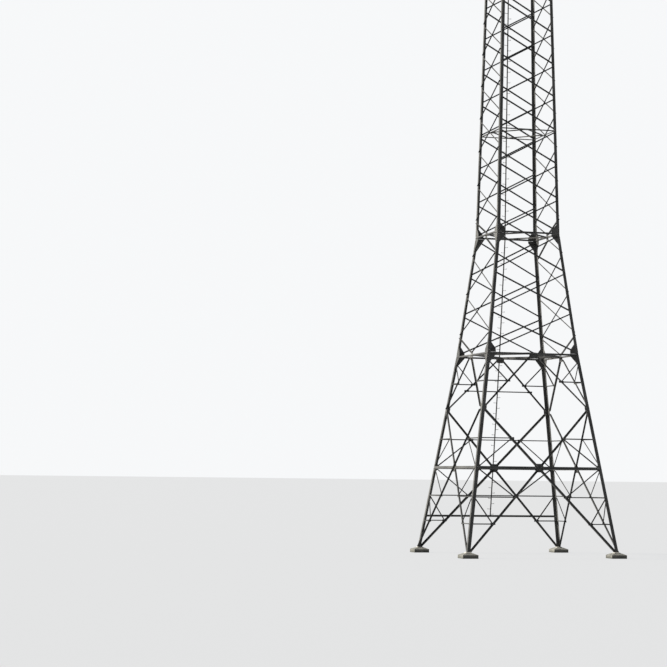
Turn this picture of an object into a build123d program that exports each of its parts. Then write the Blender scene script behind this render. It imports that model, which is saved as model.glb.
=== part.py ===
"""Lattice transmission pylon with one level of crossarms, as a 1:2 scale model.

The origin is on the ground under the middle of the tower. +Z is up, the crossarms run along X
and the line they carry runs along Y, so the front looks towards -Y.
"""

import math
import os

from build123d import *

os.makedirs("parts", exist_ok=True)

# Foundation blocks
CAP_WIDTH = 465.0
CAP_HEIGHT = 150.0
CAP_SLOPE_HEIGHT = 50.0
CAP_TOP_WIDTH = 230.0

# Outline of the tower: widths over the legs, heights above the foundation blocks
BASE_WIDTH = 4650.0
KNEE_WIDTH = 2836.0
WAIST_WIDTH = 1960.0
HEAD_WIDTH = 1385.0
CROSS_TOP_HEIGHT = 4190.0
KNEE_HEIGHT = 5825.0
WAIST_HEIGHT = 9405.0
ARM_HEIGHT = 20925.0
HEAD_DEPTH = 1500.0

# Levels of the light bracing in the spread foot
LADDER_BEAM_HEIGHT = 960.0
FIRST_TIE_HEIGHT = 830.0
SECOND_TIE_HEIGHT = 1600.0
THIRD_TIE_HEIGHT = 3305.0
APRON_TIE_HEIGHT = 4790.0
FOURTH_TIE_HEIGHT = 4985.0

# Panels of the body, each a little lower than the one under it
NECK_PANELS = 3
NECK_PANEL_RATIO = 0.96
SHAFT_PANELS = 12
SHAFT_PANEL_RATIO = 0.981
COLLAR_PANEL = 3

# Rolled angles: width of a flange and its thickness
LOWER_LEG_SIZE = 100.0
LOWER_LEG_THICKNESS = 10.0
UPPER_LEG_SIZE = 90.0
UPPER_LEG_THICKNESS = 8.0
CROSS_SIZE = 60.0
CROSS_THICKNESS = 5.0
RAFTER_SIZE = 48.0
RAFTER_THICKNESS = 4.0
LACING_SIZE = 38.0
LACING_THICKNESS = 4.0
TIE_SIZE = 30.0
TIE_THICKNESS = 3.0
BELT_DEPTH = 80.0
BELT_SHELF = 35.0
BELT_THICKNESS = 5.0
RING_DEPTH = 48.0
RING_SHELF = 26.0

# Gusset plates on the legs: how far they reach in, and their heights
PLATE_REACH = 45.0
PLATE_HEIGHT = 200.0
BEND_PLATE_REACH = 120.0
BEND_PLATE_ABOVE = 235.0
BEND_PLATE_BELOW = 250.0
BEND_EDGE_ABOVE = 90.0
BEND_EDGE_BELOW = 45.0

# Gusset plates in the middle of the sides and along the bars
BELT_PLATE_WIDTH = 270.0
BELT_PLATE_HEIGHT = 250.0
BELT_PLATE_CUT = 60.0
KNEE_PLATE_WIDTH = 250.0
KNEE_PLATE_HEIGHT = 165.0
KNEE_PLATE_CUT = 40.0
HALF_PLATE_WIDTH = 150.0
HALF_PLATE_HEIGHT = 95.0
NODE_PLATE_LENGTH = 150.0
NODE_PLATE_DEPTH = 56.0
SHELF_PLATE_WIDTH = 220.0
SHELF_PLATE_DEPTH = 90.0

# How far bars end above or below the joint of their panel
JOINT_RISE = 50.0
WAIST_RISE = 100.0
HEAD_RISE = 125.0
RAFTER_TIE_DROP = 235.0

# Ladder: one stem with pegs to both sides in turn
STEM_WIDTH = 30.0
STEM_DEPTH = 25.0
STEM_STAND_OFF = 67.0
PEG_PITCH = 165.0
PEG_LENGTH = 85.0
PEG_SIZE = 10.0
BRACKET_WIDTH = 20.0
BRACKET_HEIGHT = 12.0
CLEAT_SIZE = 50.0

# Crossarms: distances from the middle of the tower along the arm
ARM_REACH = 9350.0
INNER_HANGER = 3100.0
ARM_MID_NODE = 4600.0
MIDDLE_HANGER = 6150.0
PEAK_REACH = 7700.0
OUTER_HANGER = 8870.0
PEAK_HEIGHT = 1050.0
TIP_WIDTH = 500.0
ARM_CHORD_SIZE = 70.0
ARM_CHORD_THICKNESS = 6.0
ARM_WEB_SIZE = 45.0
ARM_WEB_THICKNESS = 4.0
ARM_BAYS = 12
ROOT_PLATE_LENGTH = 160.0
ROOT_PLATE_THICKNESS = 6.0
BEAM_DEPTH = 60.0
SPIKE_HEIGHT = 250.0
SPIKE_RADIUS = 15.0

# Insulator sets: two strings side by side under each hanger, joined by a yoke
STRING_SPACING = 600.0
STRING_RADIUS = 38.0
STRING_LENGTH = 600.0
FITTING_RADIUS = 24.0
FITTING_LENGTH = 60.0
EYE_WIDTH = 60.0
EYE_HEIGHT = 70.0
YOKE_DROP = 170.0
YOKE_THICKNESS = 14.0
YOKE_BAR = 50.0
BUNDLE_SPACING = 200.0
CLAMP_RADIUS = 24.0
CLAMP_LENGTH = 160.0

# Where bars stop short of a joint's centre, how far they lap a leg, and the air between neighbours
SETBACK = 55.0
LAP = 16.0
AIR = 3.0

SIDES = {"front": 0.0, "right": 90.0, "back": 180.0, "left": 270.0}
STAGGERED = (SIDES["right"], SIDES["left"])
CORNERS = {"front_right": 0.0, "back_right": 90.0, "back_left": 180.0, "front_left": 270.0}
OUT, IN = 1, -1


class Stage:
    """One straight stage of the tower, from one bend of the legs to the next."""

    def __init__(self, low, high, low_width, high_width, leg_size, leg_thickness):
        self.low = low
        self.high = high
        self.low_half = low_width / 2
        self.slope = (low_width - high_width) / 2 / (high - low)
        self.lean = math.atan(self.slope)
        self.leg_size = leg_size
        self.leg_thickness = leg_thickness
        self.plate = leg_thickness * math.cos(self.lean)

    def half(self, height):
        """Half the width over the legs at a height."""
        return self.low_half - (height - self.low) * self.slope

    def gauge(self, height):
        """Middle of a leg's flange, measured from the middle of the side."""
        return self.half(height) - self.leg_size / 2

    def edge(self, height):
        """Inner edge of a leg's flange, measured from the middle of the side."""
        return self.half(height) - self.leg_size

    def side(self, turn):
        """Plane of one side's outer face, with its origin in the middle of the lower edge."""
        across = Vector(1, 0, 0).rotate(Axis.Z, turn)
        normal = Vector(0, -math.cos(self.lean), math.sin(self.lean)).rotate(Axis.Z, turn)
        origin = Vector(0, -self.low_half, CAP_HEIGHT + self.low).rotate(Axis.Z, turn)
        return Plane(origin=origin, x_dir=across, z_dir=normal)

    def spot(self, across, height):
        """A point of a side, as seen on its plane."""
        return Vector(across, (height - self.low) / math.cos(self.lean))

    def bar(self, from_across, from_height, to_across, to_height):
        """The two ends of a bar on a side."""
        return self.spot(from_across, from_height), self.spot(to_across, to_height)


LOWER_LEG = (LOWER_LEG_SIZE, LOWER_LEG_THICKNESS)
UPPER_LEG = (UPPER_LEG_SIZE, UPPER_LEG_THICKNESS)
TOP_HEIGHT = ARM_HEIGHT + HEAD_DEPTH
foot = Stage(0.0, KNEE_HEIGHT, BASE_WIDTH, KNEE_WIDTH, *LOWER_LEG)
neck = Stage(KNEE_HEIGHT, WAIST_HEIGHT, KNEE_WIDTH, WAIST_WIDTH, *UPPER_LEG)
shaft = Stage(WAIST_HEIGHT, ARM_HEIGHT, WAIST_WIDTH, HEAD_WIDTH, *UPPER_LEG)
head = Stage(ARM_HEIGHT, TOP_HEIGHT, HEAD_WIDTH, HEAD_WIDTH, *UPPER_LEG)


def graded(low, high, count, ratio):
    """Heights of panel joints from low to high, each panel a fixed share of the one below."""
    first = (high - low) * (1 - ratio) / (1 - ratio**count)
    return [low + first * (1 - ratio**step) / (1 - ratio) for step in range(count + 1)]


def halfway(joints):
    """Heights midway between neighbouring joints."""
    return [(low + high) / 2 for low, high in zip(joints, joints[1:])]


def crossing(stage, low, high):
    """Height at which the two bars of an X panel cross."""
    return low + (high - low) * stage.gauge(low) / (stage.gauge(low) + stage.gauge(high))


def meet(first, second):
    """Where two bars cross on their plane."""
    (a, b), (c, d) = first, second
    run, other = b - a, d - c
    share = ((c.X - a.X) * other.Y - (c.Y - a.Y) * other.X) / (run.X * other.Y - run.Y * other.X)
    return a + run * share


def trim(bar, at_start, at_end):
    """A bar's two ends after they are moved in along the bar."""
    start, end = bar
    step = (end - start).normalized()
    return start + step * at_start, end - step * at_end


def at_bar(start, end, shift=0.0):
    """Location in the middle of a bar, turned along it and shifted towards its upper edge."""
    if end.X < start.X:
        start, end = end, start
    run = end - start
    turn = math.degrees(math.atan2(run.Y, run.X))
    middle = (start + end) / 2 + Vector(-run.Y, run.X).normalized() * shift
    return Location((middle.X, middle.Y), turn)


def lay_angles(plane, bars, size, thickness, seat, facing, shelf=None):
    """Add angle bars: one flange flat on the plane, the other standing up along its lower edge."""
    with BuildSketch(plane.offset(seat)) as flat:
        for start, end in bars:
            with Locations(at_bar(start, end)):
                Rectangle((end - start).length, size)
    extrude(flat.sketch, amount=facing * thickness)
    with BuildSketch(plane.offset(seat)) as upright:
        for start, end in bars:
            with Locations(at_bar(start, end, (thickness - size) / 2)):
                Rectangle((end - start).length, thickness)
    extrude(upright.sketch, amount=facing * (shelf or size))


def lay_plates(plane, spots, width, height, seat, thickness):
    """Add flat plates centred on spots of a plane."""
    with BuildSketch(plane.offset(seat)) as plates:
        with Locations(*[(spot.X, spot.Y) for spot in spots]):
            Rectangle(width, height)
    extrude(plates.sketch, amount=thickness)


def lay_outline(plane, spots, seat, thickness):
    """Add a plate with its corners at spots of a plane."""
    with BuildSketch(plane.offset(seat)) as plate:
        with BuildLine():
            Polyline(*[(spot.X, spot.Y) for spot in spots], close=True)
        make_face()
    extrude(plate.sketch, amount=thickness)


def octagon(spot, width, height, cut):
    """Corners of a plate whose four corners are cut off, centred on a spot of a plane."""
    x, y = width / 2, height / 2
    right = [(x, cut - y), (x, y - cut), (x - cut, y)]
    left = [(cut - x, y), (-x, y - cut), (-x, cut - y)]
    return [spot + Vector(*corner) for corner in [*right, *left, (cut - x, -y), (x - cut, -y)]]


def add_lattice(stage, turn, facing, bars, size, thickness, shelf=None):
    """Add angle bars to one side, on the outer or inner face of the legs' flanges."""
    seat = 0.0 if facing == OUT else -stage.plate
    lay_angles(stage.side(turn), bars, size, thickness, seat, facing, shelf)


def finish(piece, name):
    """Name a piece and write it."""
    piece.part.label = name
    export_step(piece.part, f"parts/{name}.step")


neck_joints = graded(KNEE_HEIGHT, WAIST_HEIGHT, NECK_PANELS, NECK_PANEL_RATIO)
shaft_joints = graded(WAIST_HEIGHT, ARM_HEIGHT, SHAFT_PANELS, SHAFT_PANEL_RATIO)
COLLAR_HEIGHT = shaft_joints[COLLAR_PANEL]
great_bars = {}
for side in (-1, 1):
    start, end = foot.gauge(0), foot.gauge(CROSS_TOP_HEIGHT)
    great_bars[side] = foot.bar(side * start, 0, -side * end, CROSS_TOP_HEIGHT)
cross_spot = meet(great_bars[-1], great_bars[1])
BELT_HEIGHT = cross_spot.Y * math.cos(foot.lean)

# Foundation blocks, each under the heel of its leg, with a top that sheds the rain
for corner, turn in CORNERS.items():
    middle = Vector(foot.gauge(0), -foot.gauge(0), 0).rotate(Axis.Z, turn)
    shoulder = CAP_HEIGHT - CAP_SLOPE_HEIGHT
    with BuildPart() as cap:
        with BuildSketch(Plane(origin=middle)):
            Rectangle(CAP_WIDTH, CAP_WIDTH)
        extrude(amount=shoulder)
        with BuildSketch(Plane(origin=middle + Vector(0, 0, shoulder))):
            Rectangle(CAP_WIDTH, CAP_WIDTH)
        with BuildSketch(Plane(origin=middle + Vector(0, 0, CAP_HEIGHT))):
            Rectangle(CAP_TOP_WIDTH, CAP_TOP_WIDTH)
        loft()
    finish(cap, f"foundation_cap_{corner}")


def add_leg(stage):
    """Add the front right leg of a stage, with its heel along the outer edge."""
    lean = Vector(-stage.slope, stage.slope, 1)
    heel = Vector(stage.low_half, -stage.low_half, CAP_HEIGHT + stage.low)
    size, thickness = stage.leg_size, stage.leg_thickness
    with BuildSketch(Plane(origin=heel)) as profile:
        with BuildLine():
            Polyline(
                (0, 0),
                (-size, 0),
                (-size, thickness),
                (-thickness, thickness),
                (-thickness, size),
                (0, size),
                close=True,
            )
        make_face()
    extrude(profile.sketch, amount=(stage.high - stage.low) * lean.length, dir=lean)


def add_wings(stage, reach, low, start, end, high):
    """Add the front right leg's two gussets from low to high, reaching in furthest from start to end."""
    for turn, side in ((0.0, 1), (90.0, -1)):
        outline = [
            stage.spot(side * stage.gauge(low), low),
            stage.spot(side * stage.edge(low), low),
            stage.spot(side * (stage.edge(start) - reach), start),
            stage.spot(side * (stage.edge(end) - reach), end),
            stage.spot(side * stage.edge(high), high),
            stage.spot(side * stage.gauge(high), high),
        ]
        lay_outline(stage.side(turn), outline, 0, -stage.plate)


def add_wings_below(stage):
    """Add the gussets that hang under the bend at the top of a stage."""
    top = stage.high - AIR
    edge = top - BEND_EDGE_BELOW
    add_wings(stage, BEND_PLATE_REACH, top - BEND_PLATE_BELOW, edge, top - AIR, top)


def add_wings_above(stage):
    """Add the gussets that stand over the bend at the foot of a stage."""
    foot_of = stage.low + AIR
    edge = foot_of + BEND_EDGE_ABOVE
    add_wings(stage, BEND_PLATE_REACH, foot_of, foot_of + AIR, edge, foot_of + BEND_PLATE_ABOVE)


# Legs, each in a lower and an upper length that meet at the knee
with BuildPart() as lower_leg:
    add_leg(foot)
    for height in (BELT_HEIGHT, CROSS_TOP_HEIGHT):
        low, high = height - PLATE_HEIGHT / 2, height + PLATE_HEIGHT / 2
        add_wings(foot, PLATE_REACH, low, height - PLATE_HEIGHT / 4, height + PLATE_HEIGHT / 4, high)
    add_wings_below(foot)
with BuildPart() as upper_leg:
    for stage in (neck, shaft, head):
        add_leg(stage)
    add_wings_above(neck)
    add_wings_below(neck)
    add_wings_above(shaft)
for corner, turn in CORNERS.items():
    for pattern, length in ((lower_leg, "lower"), (upper_leg, "upper")):
        with BuildPart() as leg:
            add(pattern.part, rotation=(0, 0, turn))
        finish(leg, f"leg_{length}_{corner}")


def great_brace(side, height):
    """Distance of a great brace from the middle of its side, starting at the leg on the given side."""
    share = height / CROSS_TOP_HEIGHT
    return side * (foot.gauge(0) - share * (foot.gauge(0) + foot.gauge(CROSS_TOP_HEIGHT)))


def foot_ties(side):
    """Light bars that tie one great brace to the legs, and the places where they meet it."""
    ties = []
    for leg_side, leg_height, height, at_leg, at_brace in (
        (side, FIRST_TIE_HEIGHT, FIRST_TIE_HEIGHT, 0, SETBACK),
        (side, SECOND_TIE_HEIGHT, SECOND_TIE_HEIGHT, 0, SETBACK),
        (side, SECOND_TIE_HEIGHT, FIRST_TIE_HEIGHT, SETBACK, TIE_SIZE),
        (side, BELT_HEIGHT, SECOND_TIE_HEIGHT, 1.75 * SETBACK, TIE_SIZE),
        (-side, BELT_HEIGHT, THIRD_TIE_HEIGHT, 1.75 * SETBACK, TIE_SIZE),
        (-side, THIRD_TIE_HEIGHT, THIRD_TIE_HEIGHT, 0, SETBACK),
    ):
        bar = foot.bar(leg_side * foot.gauge(leg_height), leg_height, great_brace(side, height), height)
        ties.append(trim(bar, at_leg, at_brace))
    heights = (FIRST_TIE_HEIGHT, SECOND_TIE_HEIGHT, THIRD_TIE_HEIGHT)
    return ties, [foot.spot(great_brace(side, height), height) for height in heights]


# Great braces of the spread foot, each with the light bars that tie it to the legs
for side_name, turn in SIDES.items():
    plane = foot.side(turn)
    for side, facing, course in ((-1, OUT, "rising"), (1, IN, "falling")):
        ties, joints = foot_ties(side)
        with BuildPart() as brace:
            long_bar = trim(great_bars[side], SETBACK, SETBACK)
            add_lattice(foot, turn, facing, [long_bar], CROSS_SIZE, CROSS_THICKNESS)
            add_lattice(foot, turn, -facing, ties, TIE_SIZE, TIE_THICKNESS)
            lay_plates(plane, joints, NODE_PLATE_LENGTH, NODE_PLATE_DEPTH, 0, -foot.plate)
        finish(brace, f"great_brace_{side_name}_{course}")


def add_belt(stage, turn, height, facings, size, thickness, shelf):
    """Add a belt from leg to leg along one side, on the given faces of the legs' flanges."""
    reach = stage.gauge(height)
    bar = stage.bar(-reach, height, reach, height)
    for facing in facings:
        add_lattice(stage, turn, facing, [bar], size, thickness, shelf)


def add_diamond(stage, shelf, size, thickness, inset=0.0):
    """Add a level diamond between the middles of a belt's four sides, let into its shelves."""
    edge = stage.half(shelf) - stage.leg_thickness - AIR - SHELF_PLATE_DEPTH / 2
    flat = Plane(origin=(0, 0, CAP_HEIGHT + shelf - thickness))
    nodes = []
    for turn in SIDES.values():
        depth = inset if turn in STAGGERED else 0.0
        nodes.append(Vector(0, depth - edge, 0).rotate(Axis.Z, turn))
    lay_plates(flat, nodes[::2], SHELF_PLATE_WIDTH, SHELF_PLATE_DEPTH, 0, thickness)
    lay_plates(flat, nodes[1::2], SHELF_PLATE_DEPTH, SHELF_PLATE_WIDTH, 0, thickness)
    bars = [trim((a, b), SETBACK / 2, SETBACK / 2) for a, b in zip(nodes, nodes[1:] + nodes[:1])]
    lay_angles(flat, bars, size, thickness, thickness, 1)


# Belts of the spread foot, with the middle gusset that the great braces cross on
for side_name, turn in SIDES.items():
    with BuildPart() as belt:
        plate = octagon(cross_spot, BELT_PLATE_WIDTH, BELT_PLATE_HEIGHT, BELT_PLATE_CUT)
        lay_outline(foot.side(turn), plate, 0, -foot.plate)
        reach, gap = foot.gauge(BELT_HEIGHT), 1.75 * SETBACK
        halves = [foot.bar(side * gap, BELT_HEIGHT, side * reach, BELT_HEIGHT) for side in (-1, 1)]
        for facing in (OUT, IN):
            add_lattice(foot, turn, facing, halves, BELT_DEPTH, BELT_THICKNESS, BELT_SHELF)
    finish(belt, f"belt_{side_name}")

# Middle ties between the great braces at the back, one under the belt and one over it
with BuildPart() as middle_ties:
    for height in (SECOND_TIE_HEIGHT, THIRD_TIE_HEIGHT):
        reach = abs(great_brace(1, height)) - SETBACK - AIR
        bar = foot.bar(-reach, height, reach, height)
        add_lattice(foot, SIDES["back"], OUT, [bar], TIE_SIZE, TIE_THICKNESS)
finish(middle_ties, "middle_ties")


def rafter(side, height):
    """Distance of an apron's rafter from the middle of its side."""
    share = (KNEE_HEIGHT - height) / (KNEE_HEIGHT - CROSS_TOP_HEIGHT)
    return side * foot.gauge(CROSS_TOP_HEIGHT) * share


# Aprons: the inverted V from the middle of the knee down to the tops of the great braces
for side_name, turn in SIDES.items():
    plane = foot.side(turn)
    rafters, ties, joints = [], [], []
    for side in (-1, 1):
        long_bar = foot.bar(rafter(side, CROSS_TOP_HEIGHT), CROSS_TOP_HEIGHT, 0, KNEE_HEIGHT)
        rafters.append(trim(long_bar, SETBACK, 2.5 * SETBACK))
        joint = rafter(side, FOURTH_TIE_HEIGHT)
        for height, at_joint in ((FOURTH_TIE_HEIGHT, SETBACK), (KNEE_HEIGHT - RAFTER_TIE_DROP, TIE_SIZE)):
            tie = foot.bar(side * foot.gauge(height), height, joint, FOURTH_TIE_HEIGHT)
            ties.append(trim(tie, 0, at_joint))
        joints.append(foot.spot(joint, FOURTH_TIE_HEIGHT))
    if side_name == "back":
        reach = rafter(1, APRON_TIE_HEIGHT)
        tie = foot.bar(-reach, APRON_TIE_HEIGHT, reach, APRON_TIE_HEIGHT)
        ties.append(tie)
        joints.extend(tie)
    with BuildPart() as apron:
        add_lattice(foot, turn, OUT, rafters, RAFTER_SIZE, RAFTER_THICKNESS)
        add_lattice(foot, turn, IN, ties, TIE_SIZE, TIE_THICKNESS)
        lay_plates(plane, joints, NODE_PLATE_LENGTH, NODE_PLATE_DEPTH, 0, -foot.plate)
    finish(apron, f"apron_{side_name}")


def panels_between(joints, first_rise=JOINT_RISE):
    """Panels between joints as pairs of heights, with the bars' ends held off each joint."""
    lows = [joints[0] + first_rise] + [joint + JOINT_RISE for joint in joints[1:-1]]
    return list(zip(lows, [joint - JOINT_RISE for joint in joints[1:]]))


def add_crosses(stage, turn, panels):
    """Add X panels between pairs of heights, packed apart by the legs' thickness."""
    rising, falling = [], []
    for low, high in panels:
        rise = stage.bar(-stage.gauge(low), low, stage.gauge(high), high)
        fall = stage.bar(stage.gauge(low), low, -stage.gauge(high), high)
        rising.append(trim(rise, -LAP, -LAP))
        falling.append(trim(fall, -LAP, -LAP))
    add_lattice(stage, turn, OUT, rising, LACING_SIZE, LACING_THICKNESS)
    add_lattice(stage, turn, IN, falling, LACING_SIZE, LACING_THICKNESS)
    spots = [meet(*pair) for pair in zip(rising, falling)]
    lay_plates(stage.side(turn), spots, LACING_SIZE, LACING_SIZE, 0, -stage.plate)


def add_half_cross(stage, turn, middle, legs):
    """Add the half panel that meets in the middle of a belt: a V above it or its mirror below."""
    bars = []
    for side in (-1, 1):
        bar = stage.bar(side * stage.gauge(legs), legs, 0, middle)
        bars.append(trim(bar, -LAP, SETBACK / 2))
    add_lattice(stage, turn, OUT, bars, LACING_SIZE, LACING_THICKNESS)


# Lacing of the body: crosses from leg to leg, half a panel lower on the right and left sides
neck_panels = panels_between(neck_joints)
shaft_panels = panels_between(shaft_joints, WAIST_RISE)
for side_name, turn in SIDES.items():
    with BuildPart() as lacing:
        for stage, joints, panels, rise in (
            (neck, neck_joints, neck_panels, JOINT_RISE),
            (shaft, shaft_joints, shaft_panels, WAIST_RISE),
        ):
            if turn in STAGGERED:
                between = halfway(joints)
                add_crosses(stage, turn, panels_between(between))
                add_half_cross(stage, turn, joints[0] + rise, between[0] - JOINT_RISE)
                add_half_cross(stage, turn, joints[-1] - JOINT_RISE, between[-1] + JOINT_RISE)
            else:
                add_crosses(stage, turn, panels)
    finish(lacing, f"lacing_{side_name}")


def add_half_plate(stage, turn, low, high):
    """Add the gusset that takes the half panels in the middle of a side."""
    spot = stage.spot(0, (low + high) / 2)
    lay_plates(stage.side(turn), [spot], HALF_PLATE_WIDTH, high - low, 0, -stage.plate)


# Knee: belts just under the bend, with middle gussets for the aprons and the lacing
knee_belt = KNEE_HEIGHT - AIR - RING_DEPTH / 2
with BuildPart() as knee_ring:
    for turn in SIDES.values():
        add_belt(foot, turn, knee_belt, (OUT, IN), RING_DEPTH, BELT_THICKNESS, RING_SHELF)
        below = foot.spot(0, KNEE_HEIGHT - KNEE_PLATE_HEIGHT / 2)
        plate = octagon(below, KNEE_PLATE_WIDTH, KNEE_PLATE_HEIGHT, KNEE_PLATE_CUT)
        lay_outline(foot.side(turn), plate, 0, -foot.plate)
        if turn in STAGGERED:
            add_half_plate(neck, turn, KNEE_HEIGHT - AIR, KNEE_HEIGHT + HALF_PLATE_HEIGHT)
    add_diamond(foot, knee_belt - RING_DEPTH / 2 + BELT_THICKNESS, CROSS_SIZE, CROSS_THICKNESS)
finish(knee_ring, "knee_ring")

# Waist: belts just over the bend
waist_belt = WAIST_HEIGHT + AIR + RING_DEPTH / 2
with BuildPart() as waist_ring:
    for turn in SIDES.values():
        add_belt(shaft, turn, waist_belt, (OUT, IN), RING_DEPTH, CROSS_THICKNESS, RING_SHELF)
        if turn in STAGGERED:
            add_half_plate(shaft, turn, WAIST_HEIGHT - AIR, WAIST_HEIGHT + WAIST_RISE + TIE_SIZE)
            add_half_plate(neck, turn, WAIST_HEIGHT - HALF_PLATE_HEIGHT, WAIST_HEIGHT + AIR)
    add_diamond(shaft, waist_belt - RING_DEPTH / 2 + CROSS_THICKNESS, LACING_SIZE, LACING_THICKNESS)
finish(waist_ring, "waist_ring")

# Collar: a light ring part of the way up the shaft
collar_inset = LACING_SIZE + AIR
with BuildPart() as collar_ring:
    for turn in SIDES.values():
        if turn in STAGGERED:
            reach = shaft.gauge(COLLAR_HEIGHT)
            bar = shaft.bar(-reach, COLLAR_HEIGHT, reach, COLLAR_HEIGHT)
            seat = -shaft.plate - collar_inset
            lay_angles(shaft.side(turn), [bar], TIE_SIZE, TIE_THICKNESS, seat, IN)
        else:
            add_belt(shaft, turn, COLLAR_HEIGHT, (IN,), TIE_SIZE, TIE_THICKNESS, TIE_SIZE)
    shelf = COLLAR_HEIGHT - TIE_SIZE / 2 + TIE_THICKNESS
    add_diamond(shaft, shelf, TIE_SIZE, TIE_THICKNESS, collar_inset)
finish(collar_ring, "collar_ring")

# Ladder with the beam it stands on, across the back
with BuildPart() as ladder:
    back = SIDES["back"]
    beam_seat = STEM_STAND_OFF - CROSS_THICKNESS
    reach = foot.gauge(LADDER_BEAM_HEIGHT)
    beam = foot.bar(-reach, LADDER_BEAM_HEIGHT, reach, LADDER_BEAM_HEIGHT)
    lay_angles(foot.side(back), [beam], CROSS_SIZE, CROSS_THICKNESS, beam_seat, OUT)
    lay_plates(foot.side(back), beam, CLEAT_SIZE, CLEAT_SIZE, 0, beam_seat)
    pegs_below = 0
    for stage, low, crossings in (
        (foot, LADDER_BEAM_HEIGHT - CROSS_SIZE / 2, [BELT_HEIGHT]),
        (neck, neck.low, [crossing(neck, *panel) for panel in neck_panels]),
        (shaft, shaft.low, [crossing(shaft, *panel) for panel in shaft_panels]),
    ):
        plane = stage.side(back)
        start, end = stage.spot(0, low), stage.spot(0, stage.high)
        lay_plates(plane, [(start + end) / 2], STEM_WIDTH, (end - start).length, STEM_STAND_OFF, STEM_DEPTH)
        count = int((end - start).length / PEG_PITCH)
        pegs = []
        for step in range(count):
            side = 1 if (pegs_below + step) % 2 else -1
            pegs.append(Vector(side * (STEM_WIDTH + PEG_LENGTH) / 2, start.Y + (step + 0.5) * PEG_PITCH))
        peg_seat = STEM_STAND_OFF + (STEM_DEPTH - PEG_SIZE) / 2
        lay_plates(plane, pegs, PEG_LENGTH, PEG_SIZE, peg_seat, PEG_SIZE)
        pegs_below += count
        seat = CROSS_THICKNESS if stage is foot else LACING_THICKNESS
        feet = [stage.spot(0, height) + Vector(0, BRACKET_HEIGHT / 2) for height in crossings]
        lay_plates(plane, feet, BRACKET_WIDTH, BRACKET_HEIGHT, seat, STEM_STAND_OFF - seat)
finish(ladder, "ladder")

# Head of the body, where the crossarms pass: crosses on all sides between two rings
with BuildPart() as head_frame:
    for turn in SIDES.values():
        add_crosses(head, turn, [(ARM_HEIGHT + HEAD_RISE, TOP_HEIGHT - HEAD_RISE)])
        for height in (ARM_HEIGHT + ARM_CHORD_SIZE / 2, TOP_HEIGHT - ARM_CHORD_SIZE / 2):
            add_belt(head, turn, height, (IN,), ARM_CHORD_SIZE, ARM_CHORD_THICKNESS, BELT_SHELF)
        if turn in STAGGERED:
            add_half_plate(shaft, turn, ARM_HEIGHT - HALF_PLATE_HEIGHT, ARM_HEIGHT + SETBACK)
    for shelf in (ARM_HEIGHT + ARM_CHORD_THICKNESS, TOP_HEIGHT - ARM_CHORD_SIZE + ARM_CHORD_THICKNESS):
        add_diamond(head, shelf, LACING_SIZE, LACING_THICKNESS)
finish(head_frame, "head_frame")

# Crossarms: the right arm's front truss is drawn, and the other three mirror it
ARM_LEVEL = CAP_HEIGHT + ARM_HEIGHT
ARM_ROOT = HEAD_WIDTH / 2
arm_turn = math.atan((ARM_ROOT - TIP_WIDTH / 2) / (ARM_REACH - ARM_ROOT))
half_chord = ARM_CHORD_SIZE / 2


def along(reach):
    """Distance along a truss for a distance from the middle of the tower."""
    return (reach - ARM_ROOT) / math.cos(arm_turn)


def arm_half(reach):
    """Half the distance between an arm's two trusses."""
    return ARM_ROOT - (reach - ARM_ROOT) * math.tan(arm_turn)


def chord_rise(reach):
    """Height of the top chord's middle over the underside of the arm."""
    share = (reach - ARM_ROOT) / (PEAK_REACH - ARM_ROOT)
    return HEAD_DEPTH - half_chord + share * (PEAK_HEIGHT - HEAD_DEPTH)


root, tip = Vector(2 * AIR, half_chord), Vector(along(ARM_REACH), half_chord)
apex = Vector(2 * AIR, chord_rise(ARM_ROOT + 2 * AIR))
peak = Vector(along(PEAK_REACH), chord_rise(PEAK_REACH))
crest = Vector(along(ARM_MID_NODE), chord_rise(ARM_MID_NODE))
inner, middle = Vector(along(INNER_HANGER), half_chord), Vector(along(MIDDLE_HANGER), half_chord)
foot_of_crest, foot_of_peak = Vector(crest.X, half_chord), Vector(peak.X, half_chord)
truss_plane = Plane(
    origin=(ARM_ROOT, -ARM_ROOT, ARM_LEVEL),
    x_dir=(math.cos(arm_turn), math.sin(arm_turn), 0),
    z_dir=(math.sin(arm_turn), -math.cos(arm_turn), 0),
)
with BuildPart() as truss:
    chords = [(root, tip), (apex, peak), (peak, tip)]
    lay_angles(truss_plane, chords, ARM_CHORD_SIZE, ARM_CHORD_THICKNESS, 0, IN)
    falls, rises = [(apex, inner), (crest, middle)], [(inner, crest), (middle, peak)]
    posts = [(foot_of_crest, crest), (foot_of_peak, peak)]
    lay_angles(truss_plane, falls, ARM_WEB_SIZE, ARM_WEB_THICKNESS, 0, OUT)
    lay_angles(truss_plane, rises, ARM_WEB_SIZE, ARM_WEB_THICKNESS, -ARM_CHORD_THICKNESS, IN)
    lay_angles(truss_plane, posts, TIE_SIZE, TIE_THICKNESS, -ARM_CHORD_THICKNESS, IN)
    for height in (half_chord, HEAD_DEPTH - half_chord):
        outer = Vector(ROOT_PLATE_LENGTH / 2 - AIR, height)
        lay_plates(truss_plane, [outer], ROOT_PLATE_LENGTH, ARM_CHORD_SIZE, 0, ROOT_PLATE_THICKNESS)
        on_leg = head.spot(ARM_ROOT - UPPER_LEG_SIZE / 2 + AIR / 2, ARM_HEIGHT + height)
        lay_plates(head.side(0.0), [on_leg], UPPER_LEG_SIZE, ARM_CHORD_SIZE, 0, ROOT_PLATE_THICKNESS)

# Level lacing of an arm: zigzags between its chords, and the beams that carry the hangers
sets = (INNER_HANGER, MIDDLE_HANGER, OUTER_HANGER)
hangers = [reach + side * STRING_SPACING / 2 for reach in sets for side in (-1, 1)]


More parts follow.
